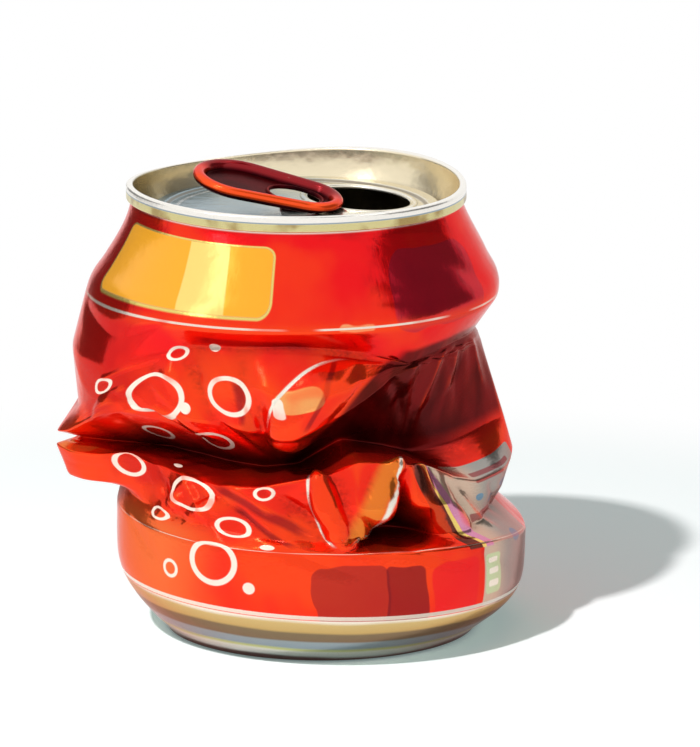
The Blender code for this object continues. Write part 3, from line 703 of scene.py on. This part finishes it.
def flapPlate():
    radial, across = lidSizes["mouthRadial"], lidSizes["mouthAcross"]
    t = math.radians(lidSizes["flapHinge"])
    hinge = np.array([radial * math.cos(t), across * math.sin(t)])
    out = np.array([math.cos(t) / radial, math.sin(t) / across])
    inward = -out / np.linalg.norm(out)
    side = np.array([-inward[1], inward[0]])
    shrink = lidSizes["flapShrink"]
    widths = []
    for probe in np.arange(0.1, 24.0, 0.1):
        sides = np.arange(-24.0, 24.0, 0.1)
        spots = hinge + inward * probe + side * sides[:, None]
        inside = (spots[:, 0] / (radial * shrink)) ** 2 + (spots[:, 1] / (across * shrink)) ** 2 <= 1.0
        if inside.sum() > 2:
            widths.append((probe, sides[inside].min(), sides[inside].max()))
    widths = np.array(widths)
    length = widths[-1, 0]
    bendRadius = 0.7
    turn = math.radians(lidSizes["flapDrop"])
    arc = bendRadius * turn
    shares = (0.05, 0.12, 0.2, 0.3, 0.4, 0.5, 0.6, 0.7, 0.8, 0.88, 0.94, 0.98, 1.0)
    stops = [-1.5, 0.0] + [arc * f for f in (0.25, 0.5, 0.75, 1.0)]
    stops += [arc + (length - arc) * f for f in shares]
    rows = []
    for stop in stops:
        low, high = -lidSizes["flapHingeWidth"] / 2, lidSizes["flapHingeWidth"] / 2
        if stop > arc + 1e-6:
            low = np.interp(stop, widths[:, 0], widths[:, 1])
            high = np.interp(stop, widths[:, 0], widths[:, 2])
        angle = clamp(stop / bendRadius, 0.0, turn)
        rest = max(stop - arc, 0.0)
        along = stop if stop <= 0.0 else bendRadius * math.sin(angle) + rest * math.cos(turn)
        down = 0.0 if stop <= 0.0 else -bendRadius * (1.0 - math.cos(angle)) - rest * math.sin(turn)
        row = []
        for share in np.linspace(0.0, 1.0, 9):
            spot = hinge + inward * along + side * (low + (high - low) * share)
            x, y = mouthPoint(spot[0], spot[1])
            row.append((x, y, -lidSizes["panelDepth"] + down))
        rows.append(row)
    return thickPlate("tear_flap", rows, lidSizes["sheet"] * 0.9)


def makeLid():
    half = lidSizes["sheet"] / 2
    gap, body = lidSizes["gap"], lidSizes["bodySheet"]
    outer = can["seamRadius"] - half
    hook = outer - half - gap - body / 2
    cover = hook - body / 2 - gap - half
    wall = cover - half - gap - body / 2
    chuck = wall - body / 2 - gap - half
    foot = -can["seamHeight"] + half
    panel = -lidSizes["panelDepth"]
    sink = -lidSizes["sinkDepth"] + half
    ledge = panel + lidSizes["panelStep"]
    stem = lidSizes["rivetRadius"] - half
    cap = lidSizes["rivetHead"] - half
    head = panel + (half + lidSizes["rivetNeck"] + half)
    seam = roundedPath([
        (cover, -0.75), (cover, foot), (outer, foot), (outer, -half), (chuck, -half), (chuck, foot)],
        0.34, 6)
    recess = roundedPath([
        (chuck, foot), (chuck - 1.8, sink), (chuck - 2.75, sink), (chuck - 3.0, ledge),
        (chuck - 4.9, ledge), (chuck - 5.4, panel), (17.0, panel)], 0.42, 5)
    middle = [(13.0, panel), (9.0, panel), (6.0, panel)]
    rivet = roundedPath([
        (3.6, panel), (stem, panel), (stem, head), (cap, head), (cap, head + 0.33), (0.0, head + 0.33)],
        0.14, 3)
    lid = spun("lid", seam[:-1] + recess + middle + rivet, half, lidSizes["columns"])
    oval = ovalOutline(lidSizes["mouthRadial"], lidSizes["mouthAcross"], 120)
    outline = [mouthPoint(u, w) for u, w in oval]
    joinBy(lid, slab("mouth_cutter", outline, panel - 2.0, panel + 2.0), "DIFFERENCE")
    joinBy(lid, mouthBead(), "UNION")
    joinBy(lid, flapPlate(), "UNION")
    return lid


def putInPlace(thing, pose):  # keeps each vertex's own place for the finish, then moves it onto the can
    mesh = thing.data
    flat = np.empty(len(mesh.vertices) * 3)
    mesh.vertices.foreach_get("co", flat)
    field = mesh.attributes.new("place", "FLOAT_VECTOR", "POINT")
    field.data.foreach_set("vector", flat.astype(np.float32))
    world = onFloor(np.stack(pose(*flat.reshape(-1, 3).T), -1))
    mesh.vertices.foreach_set("co", world.ravel())
    mesh.update()


def smoothByAngle(thing, degrees):
    mesh = thing.data
    mesh.polygons.foreach_set("use_smooth", [True] * len(mesh.polygons))
    mesh.set_sharp_from_angle(angle=math.radians(degrees))


print("making the lid")
lid = makeLid()
putInPlace(lid, upperPose)
smoothByAngle(lid, 32)
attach(lid, "can")
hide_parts("can_end")


# The pull tab

tabSizes = {
    "sheet": 0.26,
    "heel": 17.0,
    "nose": 7.6,
    "heelRadius": 7.8,
    "noseRadius": 6.3,
    "curl": 0.98,
    "curlFlat": 0.92,
    "lift": 11.8,
    "liftAt": 4.3,
    "liftBase": 1.65,
    "turn": -10.0,
    "roll": 5.0,
    "holeLong": 4.3,
    "holeWide": 3.5,
    "holeAt": -0.2,
    "holeRoll": 0.36,
    "webLevel": -0.5,
    "tongueGap": 0.08,
    "tongueHalf": 2.0,
    "clearance": 0.15,
}


def tabEdge(inset, count):
    heelAt = -tabSizes["heel"] + tabSizes["heelRadius"]
    noseAt = tabSizes["nose"] - tabSizes["noseRadius"]
    limit = (tabSizes["heelRadius"] - tabSizes["noseRadius"]) / (noseAt - heelAt)
    points = []
    for a in turns(count, 0.5):
        nose = math.cos(a) > limit
        middle = noseAt if nose else heelAt
        radius = (tabSizes["noseRadius"] if nose else tabSizes["heelRadius"]) - inset
        points.append((middle + radius * math.cos(a), radius * math.sin(a), math.cos(a), math.sin(a)))
    return points


def liftedPoint(x, y, z):
    a = math.radians(tabSizes["lift"])
    away = tabSizes["liftAt"] - x
    return (
        tabSizes["liftAt"] - away * math.cos(a) + z * math.sin(a), y,
        tabSizes["liftBase"] + away * math.sin(a) + z * math.cos(a))


def makeTab():
    half = tabSizes["sheet"] / 2
    ring = tabSizes["curl"] - half
    level = tabSizes["webLevel"]
    path = [(-1.9, level), (-1.1, level)]
    for degrees in np.linspace(165, -120, 22):
        a = math.radians(degrees)
        path.append((ring * math.cos(a), ring * tabSizes["curlFlat"] * math.sin(a)))
    left, right = sheetSides(roundedPath(path[:3], 0.2, 3)[:-1] + path[2:], half)
    section = left + right[::-1]
    stations = []
    for x, y, cx, cy in tabEdge(tabSizes["curl"], 110):
        stations.append([(x + cx * s[0], y + cy * s[0], s[1]) for s in section])
    tab = looped("tab", stations)
    flat = [(p[0], p[1]) for p in tabEdge(tabSizes["curl"] + 1.5, 90)]
    web = slab("web", flat, level - half * 0.98, level + half * 0.98)
    hole = tabSizes["holeLong"], tabSizes["holeWide"]
    outline = ovalOutline(*hole, 72, (tabSizes["holeAt"], 0.0))
    joinBy(web, slab("hole", outline, -2.0, 2.0), "DIFFERENCE")
    joinBy(tab, web, "UNION")
    roll = tabSizes["holeRoll"]
    section = [(0.2 + roll * math.cos(a), -0.42 + roll * math.sin(a)) for a in turns(12)]
    joinBy(tab, ovalBead("hole_rim", *hole, 72, section, lambda x, y: (x + tabSizes["holeAt"], y)), "UNION")
    for vert in tab.data.vertices:
        vert.co = liftedPoint(*vert.co)
    joinBy(tab, makeTongue(), "UNION")
    a = math.radians(tabSizes["lift"])
    curl = []
    for vert in tab.data.vertices:  # height over the tab's own plane tells the curl from the web
        x, y, z = vert.co
        over = (x - tabSizes["liftAt"]) * math.sin(a) + (z - tabSizes["liftBase"]) * math.cos(a)
        curl.append(float(ease((over + 0.12) / 0.2)))
    addField(tab.data, "curl", np.array(curl))
    return tab


def makeTongue():
    level = lidSizes["sheet"] / 2 + tabSizes["tongueGap"] + tabSizes["sheet"] / 2
    top = liftedPoint(tabSizes["holeAt"] + tabSizes["holeLong"] + 0.9, 0.0, -0.37)
    lip = liftedPoint(tabSizes["holeAt"] + tabSizes["holeLong"] - 0.1, 0.0, tabSizes["webLevel"])
    flat = lidSizes["rivetHead"] + 0.45
    half = tabSizes["tongueHalf"]
    path = [(top[0], top[2]), (lip[0], lip[2]), (flat + 0.3, level + 0.25)]
    path += [(x, level) for x in (flat, flat - 0.4, 0.0, -half, -lidSizes["rivetHead"] - 0.1)]
    wides = [half] * 5 + [1.25 * half, half, 0.5 * half]
    rows = []
    for (x, z), wide in zip(path, wides):
        rows.append([(x, wide * share, z) for share in (-1.0, -0.5, 0.0, 0.5, 1.0)])
    tongue = thickPlate("tongue", rows, tabSizes["sheet"] * 0.96)
    reach = lidSizes["rivetRadius"] + tabSizes["clearance"]
    turned = [(reach * math.cos(t + 0.06), reach * math.sin(t + 0.06)) for t in turns(48)]
    joinBy(tongue, slab("bore", turned, -1.0, 1.2), "DIFFERENCE")
    return tongue


def spin(x, y, angle):
    return x * np.cos(angle) - y * np.sin(angle), x * np.sin(angle) + y * np.cos(angle)


def tabPose(x, y, z):  # rolled over its tongue, turned round the rivet and tilted with the rim
    roll = math.radians(tabSizes["roll"]) * ease((z - 0.5) / 0.6)
    y, z = spin(y, z - 1.0, roll)
    x, y = spin(x, y, math.radians(tabSizes["turn"]))
    y, z = spin(y, z + 1.0, math.radians(can["rimTilt"]))
    pivot = upperPose(0.0, 0.0, -lidSizes["panelDepth"])
    return x + pivot[0], y + pivot[1], z + pivot[2]


print("making the pull tab")
tab = makeTab()
putInPlace(tab, tabPose)
smoothByAngle(tab, 40)
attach(tab, "tab")
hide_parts("pull_tab")


# Finishes

printLook = {
    "red": "EC0F16",
    "deepRed": "C00A14",
    "orange": "FA4A14",
    "amber": "E8A226",
    "amberPale": "E2CC72",
    "cream": "F4E9D8",
    "panelSilver": "9C9A94",
    "panelPale": "CDB29C",
    "metal": "CFCAC0",
    # colour of the painted shade in the folds and of the dirt in the valleys
    "shadeAndDirt": "360A0E",
    "peach": "F27A3A",
    "paintedLightPatches": (  # painted highlights, lit orange patches and dark reflections: middle across, height, half width, half height, corner, strength, colour
        (5.8, 14.2, 5.9, 5.4, 1.6, 0.8, "A4261E"), (14.8, 14.2, 3.6, 5.4, 1.2, 0.8, "7E1219"),
        (23.8, 13.6, 4.4, 5.4, 1.8, 0.8, "EE1820"), (-49.0, 47.0, 4.0, 5.0, 3.5, 0.8, "E8883C"),
        (1.4, 81.6, 3.6, 2.2, 2.0, 0.85, "F3B267"), (-1.6, 80.2, 1.0, 2.2, 0.9, 0.9, "FFF4E4"),
        (11.0, 97.6, 3.0, 0.5, 0.5, 0.8, "F6C88A"), (28.0, 101.5, 11.0, 5.6, 4.5, 0.7, "B42038")),
    "shadeStreaks": (  # painted shade streaks, from angle, height to angle, height, thickness of the dark red streaks
        (-34, 43.5, -1, 27, 4.0), (-27, 37, -6, 22.5, 2.6), (-34, 92.6, 9, 90.6, 4.4),
        (-17, 85, -12, 70, 4.0),
        (-72, 60, -50, 56, 4.0), (14, 90, 2, 73, 1.6)),
    "label": (-22.4, 103.4),  # its middle across and its height
    "stripes": (  # left and right of the slant, colour
        (-1.8, 1.4, "5E2A20"), (1.4, 2.4, "F6D474"), (2.4, 4.4, "D98FB0")),
    "stripMarks": (  # laid out like the painted light patches
        (40, 44, 5.5, 0.8, 0.4, 0.75, "8A2430"), (38.5, 41.5, 4.0, 0.5, 0.4, 0.75, "8A2430"),
        (35, 30, 3.6, 1.4, 0.4, 0.75, "8A2430"), (32.4, 14.8, 2.2, 3.5, 0.9, 1, "C6D2A6"),
        *((32.4, height, 1.4, 0.5, 0.4, 1, "F4E9D8") for height in (12.9, 14.9, 16.9))),
    "dots": ((75, 37, 1.5), (68, 33.5, 1.2), (61, 36.5, 1.1), (71, 21, 1.6)),  # angle, height, radius
    "tarnishAndReflections": (  # tarnish and painted reflection bands, with a painted contact shadow at the stand, from the stand up to the print's foot
        (0.0, "2A1A1A"), (0.09, "3A2628"), (0.15, "B9C4BE"), (0.27, "CDD6CC"), (0.33, "B0BE6C"),
        (0.4, "74909E"), (0.55, "8298A0"), (0.6, "6C5636"), (0.76, "74603E"), (0.81, "C8A25A"),
        (0.95, "D0B06C"), (1.0, "F2EADA")),
    "printFoot": 9.2,
    "bubbles": (  # angle, height, radius, line
        (-43, 78, 5.6, 1.1), (-29, 66, 3.8, 0.9), (-53, 65, 3.0, 0.8), (-19, 80, 4.0, 0.9),
        (-61, 84, 2.4, 0.8),
        (-36, 89, 2.0, 0.7), (-24, 90, 1.1, 1.1), (-33, 76, 1.2, 1.2), (-40, 37, 5.2, 1.1),
        (-26, 29, 3.4, 0.9),
        (-54, 27, 2.4, 0.8), (-14, 40, 2.0, 0.7), (-31, 18, 4.4, 1.0), (-46, 15, 1.7, 0.6),
        (-15, 23, 1.2, 1.2),
        (-66, 40, 3.2, 0.9), (-50, 46, 1.2, 1.2), (-20, 14, 1.0, 1.0), (150, 70, 5.0, 1.1),
        (166, 84, 3.0, 0.9), (128, 60, 2.6, 0.8), (178, 40, 4.0, 1.0), (140, 32, 2.4, 0.8),
        (-160, 62, 3.4, 0.9),
        (-140, 78, 2.2, 0.7), (160, 50, 1.2, 1.2), (-172, 78, 1.1, 1.1), (-128, 40, 3.0, 0.9)),
}


def ringMask(across, up, angle, height, radius, line):
    away = ((across - angle * perDegree) ** 2 + (up - height) ** 2) ** 0.5
    outer = 1 - away.step(radius - 0.12, radius + 0.12)
    if line >= radius:
        return outer
    return outer * away.step(radius - line - 0.12, radius - line + 0.12)


def boxMask(across, up, middle, height, halfWide, halfHigh, corner):
    x = ((across - middle).size() - (halfWide - corner)).most(0.0)
    y = ((up - height).size() - (halfHigh - corner)).most(0.0)
    away = (x * x + y * y) ** 0.5
    return 1 - away.step(corner - 0.15, corner + 0.15)


def leafLine(across, up, leaf, side, thick=1.0):  # along a leaf's left edge (1) or its crown (0)
    a0, h0, a1, h1, half = leaf[:5]
    run, climb = (a1 - a0) * perDegree, h1 - h0
    length = math.hypot(run, climb)
    x, y = across - a0 * perDegree, up - h0
    share = (x * run + y * climb) * (1 / length ** 2)
    away = (y * run - x * climb) * (1 / length)
    bow = share.least(1.0).most(0.0) * math.pi
    width = bow.calc("SINE", bow).most(0.001) ** 0.75 * half * side
    ends = share.step(0.06, 0.2) * share.step(0.98, 0.8)
    return (away - width).size().step(0.42 * thick, 0.12 * thick) * ends


def baseMetal(look, flat, up):  # the drawn metal under the print: bands of tarnish and painted reflections down to the stand, where a painted contact shadow darkens it
    wave = look.noise(look.stretch(flat, 0.3, 1.0, 1.0), 0.1, 2.0) - 0.5
    share = (up + wave * 2.4 + 2.6) * (1 / 11.8)
    ramp = look.node("ShaderNodeValToRGB", {"stops": printLook["tarnishAndReflections"]}, {0: share})
    return look.mix(0.1, ramp, printLook["metal"])


def sheetPlace(look):  # the flat sheet's place in millimetres: as a vector, across and up
    uv = look.node("ShaderNodeUVMap", {"uv_map": "sheet"})
    x, y = look.split(uv)[:2]
    across, up = (x - 0.5) * (360.0 * perDegree), y * sheetTall - sheetLow
    return look.stretch(uv, 207.0, sheetTall, 1.0), across, up


def redLacquer():
    look = Finish("redLacquer", Coat_Roughness=0.06, Coat_IOR=1.5, Specular_Tint=(0.9, 0.45, 0.42))
    p = printLook
    flat, across, up = sheetPlace(look)
    edge, valley, hollow = look.attribute("edge"), look.attribute("valley"), look.attribute("hollow")
    turn = across * (1 / can["radius"])
    x, y = (turn.calc(kind, turn) * can["radius"] for kind in ("SINE", "COSINE"))
    cloud = look.noise(look.node("ShaderNodeCombineXYZ", {}, {0: x, 1: y, 2: up}), 0.05, 3.0)
    back = across.step(-100, -82)
    faded = cloud.step(0.5, 0.66) * 0.5 + up.step(92, 84) * 0.35 + across.step(-20, -48) * back * 0.5
    colour = look.mix(faded.least(1.0) * 0.85, p["red"], p["orange"])
    colour = look.mix(cloud.step(0.48, 0.36) * 0.6, colour, p["deepRed"])
    colour = look.mix(across.step(-14, -30) * back * up.step(30, 22) * 0.7, colour, p["peach"])
    wave = (cloud - 0.5) * 7
    # painted highlights, lit orange patches and dark reflections laid into the lacquer
    for *place, strength, tint in p["paintedLightPatches"]:
        colour = look.mix(boxMask(across + wave, up + wave, *place) * strength, colour, tint)
    # painted shade: dark red streaks where the folds fall into shade
    for a0, h0, a1, h1, thick in p["shadeStreaks"]:
        streakShade = leafLine(across, up, (a0, h0, a1, h1, 0), 0, thick)
        colour = look.mix(streakShade * 0.75, colour, "8E1418")
    shadedPanel = (across - up * 0.68 + 43.8).step(0, 2.5) * up.step(56, 60)  # painted shade and dark reflection on the dark panel on the right
    shadedPanel = shadedPanel * up.step(92.6, 91.4) * across.step(66, 56)
    streak = look.noise(look.stretch(flat, 1.0, 0.3, 1.0), 0.16, 2.0)
    colour = look.mix(shadedPanel * 0.92, colour, look.mix(streak.step(0.42, 0.58), "2E070A", "5E1014"))
    label = boxMask(across, up, *p["label"], 18.6, 5.0, 2.0)
    # painted highlight: a pale streak down the label where a lamp's reflection lies
    sheenStreak = boxMask(across + up * 0.12, up, -3.6, 103.4, 4.3, 6.0, 1.0)
    colour = look.mix(label, colour, look.mix(sheenStreak * 0.9, p["amber"], p["amberPale"]))
    frameLine = boxMask(across, up, *p["label"], 19.0, 5.4, 2.4) - label
    colour = look.mix(frameLine.most(0.0), colour, p["amberPale"])
    slant = across + up * 0.39 - 35.9  # across from the folded strip's slanting left side
    folded = up.close(31.5, 11.6, 11.2)
    strip = boxMask(across, up, 39.2, 28.6, 9.4, 19.4, 1.2)
    strip = strip.most(folded * slant.step(4.3, 4.5) * across.step(40, 39))
    colour = look.mix(strip, colour, look.mix(across.step(32, 38), p["panelPale"], p["panelSilver"]))
    for left, right, tint in p["stripes"]:
        stripe = folded * slant.step(left - 0.1, left + 0.1) * slant.step(right + 0.1, right - 0.1)
        colour = look.mix(stripe, colour, tint)
    for *place, strength, tint in p["stripMarks"]:
        colour = look.mix(boxMask(across, up, *place) * strength, colour, tint)
    dots = 0.0
    for angle, height, radius in p["dots"]:
        dots = ringMask(across, up, angle, height, radius, radius).most(dots)
    colour = look.mix(dots, colour, "6F93A8")
    rings = up.close(p["printFoot"] + 0.5, 0.42, 0.3)
    for place in p["bubbles"]:
        rings = ringMask(across, up, *place).most(rings)
    colour = look.mix(rings * 0.92, colour, p["cream"])
    grain = look.noise(look.stretch(flat, 3.0, 0.12, 1.0), 1.6, 4.0, 0.6)
    speck = look.noise(flat, 1.1, 5.0, 0.7)
    # painted highlight: convex ridges turn orange as if lit
    colour = look.mix(edge.step(0.3, 1.0) * 0.55, colour, p["orange"])
    # painted highlight: an amber band along the second petal
    colour = look.mix(leafLine(across, up, leaves[1], 0.5, 5.0) * 0.75, colour, "D9822B")
    # bare metal lines along the lip crease and the petal edges, worn and also standing in for painted
    # glints on these creases
    broken = look.noise(flat, 0.1, 1.0).step(0.3, 0.5)
    wearAndGlints = up.close(96.9, 0.22, 0.08) * broken * 0.9
    wearAndGlints = (up.close(21.2, 0.16, 0.06) * broken * 0.6).most(wearAndGlints)
    for leaf, side in ((leaves[0], 1), (leaves[1], 0), (leaves[2], 1)):
        wearAndGlints = leafLine(across, up, leaf, side).most(wearAndGlints)
    # bare metal at the print's foot, at the neck's top and along the worn lines that also carry painted
    # glints
    bareMetalAndGlints = (1 - up.step(p["printFoot"] - 0.15, p["printFoot"] + 0.15)).most(wearAndGlints)
    bareMetalAndGlints = bareMetalAndGlints.most(up.step(111.6, 111.9))
    colour = look.mix(bareMetalAndGlints, colour, baseMetal(look, flat, up))
    # painted shade: hollows and deep folds darken towards black, with speckled dirt in the valleys
    shadeAndGrime = hollow * 0.55 + valley * 0.35 * speck.step(0.35, 0.7)
    shadeAndGrime = (look.attribute("deep").step(0.0, 1.0) * 0.93).most(shadeAndGrime).least(0.97)
    colour = look.mix(shadeAndGrime, colour, p["shadeAndDirt"])
    metallic = (bareMetalAndGlints * 0.8).most(0.84 * (1 - rings) * (1 - label * 0.75))
    rough = 0.12 + grain * 0.06 + bareMetalAndGlints * 0.08 + shadeAndGrime * 0.22
    normal = look.bumpFrom(grain, 0.08, 0.0002)
    normal = look.bumpFrom(look.noise(flat, 0.45, 2.0), 0.1, 0.0006, normal)
    coat = (1 - bareMetalAndGlints) * (1 - shadeAndGrime) * (1 - shadedPanel * 0.8) * 0.12
    return look.feed(Base_Color=colour, Metallic=metallic, Roughness=rough, Coat_Weight=coat, Normal=normal)


# Painted rings on the lid: shade in the sink, a dark line at the step and a highlight: radius, outer and
# inner half width, strength, colour
lidPaintedRings = (
    (23.9, 1.2, 0.3, 0.8, "33281C"), (20.9, 0.4, 0.1, 0.7, "6B5A40"), (19.3, 0.5, 0.1, 0.5, "FFFFFF"))


def lidMetal():
    look = Finish("lidMetal")
    place = look.attribute("place", "Vector")
    grain = look.noise(look.stretch(place, 0.25, 9.0, 1.0), 1.0, 4.0, 0.6)
    blotch = look.noise(place, 0.12, 3.0)
    specks = look.noise(place, 1.3, 5.0, 0.7)
    x, y, rise = look.split(place)
    radius = (x * x + y * y) ** 0.5
    # painted reflection: the panel and the chuck wall are darker on one side and paler on the other
    panel = look.mix((x + blotch * 14).step(0, 14), "8FA4AC", "E9E2D0")
    wall = look.mix((x * 0.7 + y * 0.5 + blotch * 16).step(-12, 12), "83733F", "F0E2C2")
    colour = look.mix(radius.step(23.2, 24.4), panel, wall)
    for middle, outer, inner, strength, tint in lidPaintedRings:
        colour = look.mix(radius.close(middle, outer, inner) * strength, colour, tint)
    # painted reflection on the rim: a white top edge, a blue-grey line and a tan lower band
    lower = look.mix(blotch.step(0.5, 0.62), "D6CB92", "A8905C")
    seam = look.mix(rise.step(-1.0, -1.3), "F6F2EA", lower)
    seam = look.mix(rise.close(-1.08, 0.16, 0.06) * 0.8, seam, "7C93A0")
    colour = look.mix(radius.step(26.0, 26.3) * rise.step(-2.6, -2.5), colour, seam)
    colour = look.mix(specks.step(0.64, 0.78) * 0.25, colour, "6B5F47")
    rough = 0.14 + grain * 0.12 + specks * 0.08
    normal = look.bumpFrom(grain, 0.08, 0.0001)
    normal = look.bumpFrom(look.noise(place, 0.35, 2.0), 0.1, 0.001, normal)
    return look.feed(Base_Color=colour, Metallic=0.92, Roughness=rough, Normal=normal)


def tabLacquer():
    look = Finish(
        "tabLacquer", Coat_Roughness=0.05, Specular_IOR_Level=0.15, Specular_Tint=(0.7, 0.2, 0.22))
    place = look.attribute("place", "Vector")
    grain = look.noise(look.stretch(place, 0.3, 6.0, 1.0), 1.0, 3.0, 0.6)
    specks = look.noise(place, 1.2, 5.0, 0.7)
    # painted shade: the web is darker than the curl, and the curl is dark red on its far side and orange on
    # its near side as if lit
    web = look.mix(look.noise(place, 0.2, 2.0).step(0.35, 0.65), "46060E", "1E0408")
    near = look.split(place)[1].step(3.0, -1.0)
    curl = look.attribute("curl")
    colour = look.mix(curl, web, look.mix(near, "8E1018", "FA5014"))
    colour = look.mix(specks.step(0.66, 0.78) * 0.35, colour, "C9B9A8")
    rough = 0.16 + grain * 0.12
    normal = look.bumpFrom(grain, 0.1, 0.0001)
    shine = curl * 0.35
    return look.feed(Base_Color=colour, Metallic=0.7, Roughness=rough, Coat_Weight=shine, Normal=normal)


def innerLacquer():
    look = Finish("innerLacquer")
    stain = look.noise(sheetPlace(look)[0], 0.12, 4.0)
    colour = look.mix(stain.step(0.4, 0.7), "8D8468", "4A3B22")
    return look.feed(Base_Color=colour, Metallic=0.6, Roughness=0.35 + stain * 0.2)


def coat(thing, material):
    thing.data.materials.clear()
    thing.data.materials.append(material)


print("making the finishes")
coat(shell, redLacquer())
coat(inner, innerLacquer())
coat(lid, lidMetal())
coat(tab, tabLacquer())


# Floor, light and camera

studio = {
    "cameraDistance": 0.8,
    "elevation": 12.5,
    "pixelsPerMm": 6.2,
    "aimHeight": 36.0,
    "aimPixel": (321.0, 405.5),
    "imageSize": (700.0, 747.0),
    "worldLevel": 0.27,
    "floorColour": (0.98, 0.98, 0.98),
    "floorLift": (0.14, 0.195, 0.19),  # what the camera sees besides the light on the floor
    "floorWhite": (0.11, 0.17),  # metres from the can over which the floor turns white
    "lamps": (  # azimuth, elevation, distance, width, height, power
        ("key", -34, 48, 0.9, 0.035, 0.035, 7.3), ("panel", -56, 36, 0.9, 0.14, 0.4, 0.6),
        ("glintLeft", -58, 64, 0.8, 0.12, 0.07, 0.5), ("glintRight", 84, 64, 0.8, 0.12, 0.07, 0.5)),
    "cards": (  # azimuth, elevation, distance, width, height, grey
        ("cardRight", 92, 25, 0.5, 0.52, 0.36, 0.16), ("cardLeft", -128, 4, 0.5, 0.5, 0.3, 0.14),
        ("cardHigh", 60, 72, 0.6, 0.3, 0.3, 0.16)),
}


def flatObject(name, outline):
    data = bpy.data.meshes.new(name)
    data.from_pydata([(x, y, 0.0) for x, y in outline], [], [tuple(range(len(outline)))])
    return addObject(name, data)


def aimAtCan(thing, azimuth, elevation, distance):
    a, e = math.radians(azimuth), math.radians(elevation)
    out = Vector((math.sin(a) * math.cos(e), -math.cos(a) * math.cos(e), math.sin(e)))
    thing.location = Vector((axisX, axisY, studio["aimHeight"] * mm)) + out * distance
    thing.rotation_euler = (-out).to_track_quat("-Z", "Y").to_euler()


def seenDirectly(kit):  # 1 where the camera looks, itself or by a reflection
    path = kit.node("ShaderNodeLightPath", {}, {}, "Is Camera Ray")
    return path.most(path.other("Is Glossy Ray")).most(path.other("Is Transmission Ray"))


def makeFloor():
    floor = flatObject("floor", ovalOutline(1.6, 1.6, 96))
    floor.location = (axisX, axisY, 0.0)
    look = Finish(
        "paleFloor", Base_Color=studio["floorColour"], Roughness=0.9, Specular_IOR_Level=0.1,
        Emission_Strength=1.0)
    place = look.node("ShaderNodeNewGeometry", {}, {}, "Position")
    middle = {0: place, 1: (axisX, axisY, 0.0)}
    away = look.node("ShaderNodeVectorMath", {"operation": "DISTANCE"}, middle, "Value")
    white = look.node("ShaderNodeEmission", {}, {"Color": (1.0, 1.0, 1.0), "Strength": 1.0})
    seen = seenDirectly(look)
    look.feed(Emission_Color=look.mix(seen, (0.0, 0.0, 0.0), studio["floorLift"]))
    base = Wire(look, look.shader.outputs[0])
    share = seen * away.step(*studio["floorWhite"])
    mixed = look.node("ShaderNodeMixShader", {}, {0: share, 1: base, 2: white})
    look.plug(look.tree.nodes["Material Output"].inputs["Surface"], mixed)
    coat(floor, look.material)


def makeWorld():
    world = bpy.data.worlds.new("studio")
    bpy.context.scene.world = world
    world.use_nodes = True
    kit = Kit(world.node_tree)
    background = kit.tree.nodes["Background"]
    kit.plug(background.inputs["Color"], (1.0, 1.0, 1.0))
    level = studio["worldLevel"]
    kit.plug(background.inputs["Strength"], seenDirectly(kit) * (1.0 - level) + level)


def makeLamp(name, azimuth, elevation, distance, wide, tall, power):
    data = bpy.data.lights.new(name, "AREA")
    data.shape = "RECTANGLE"
    data.size = wide
    data.size_y = tall
    data.energy = power
    lamp = addObject(name, data)
    aimAtCan(lamp, azimuth, elevation, distance)
    if name == "key":  # the others only give highlights, so that the key's shadow stays clear
        lamp.visible_glossy = False
    else:
        lamp.visible_diffuse = False


def makeCard(name, azimuth, elevation, distance, wide, tall, level):  # seen only in reflections
    card = flatObject(name, ((-0.5, -0.5), (0.5, -0.5), (0.5, 0.5), (-0.5, 0.5)))
    aimAtCan(card, azimuth, elevation, distance)
    card.scale = (wide, tall, 1.0)
    look = Finish(
        "cardGrey", Base_Color=(0.0, 0.0, 0.0), Specular_IOR_Level=0.0, Emission_Strength=1.0,
        Emission_Color=(level, level, level))
    coat(card, look.material)
    card.visible_camera = False
    card.visible_diffuse = False
    card.visible_shadow = False


def makeCamera():
    s = studio
    data = bpy.data.cameras.new("camera")
    camera = addObject("camera", data)
    aimAtCan(camera, 0.0, s["elevation"], s["cameraDistance"])  # straight from the front
    wide, tall = s["imageSize"]
    across = tall / s["pixelsPerMm"] * mm  # the long side of the frame at the aim
    data.sensor_width = 36.0
    data.sensor_fit = "AUTO"
    data.lens = 36.0 * s["cameraDistance"] / across
    data.shift_x = (wide / 2 - s["aimPixel"][0]) / tall
    data.shift_y = (s["aimPixel"][1] - tall / 2) / tall
    data.clip_start = 0.05
    data.clip_end = 20.0
    bpy.context.scene.camera = camera


print("setting the stage")
makeFloor()
makeWorld()
for lamp in studio["lamps"]:
    makeLamp(*lamp)
for card in studio["cards"]:
    makeCard(*card)
makeCamera()
bpy.context.scene.view_settings.view_transform = "Standard"
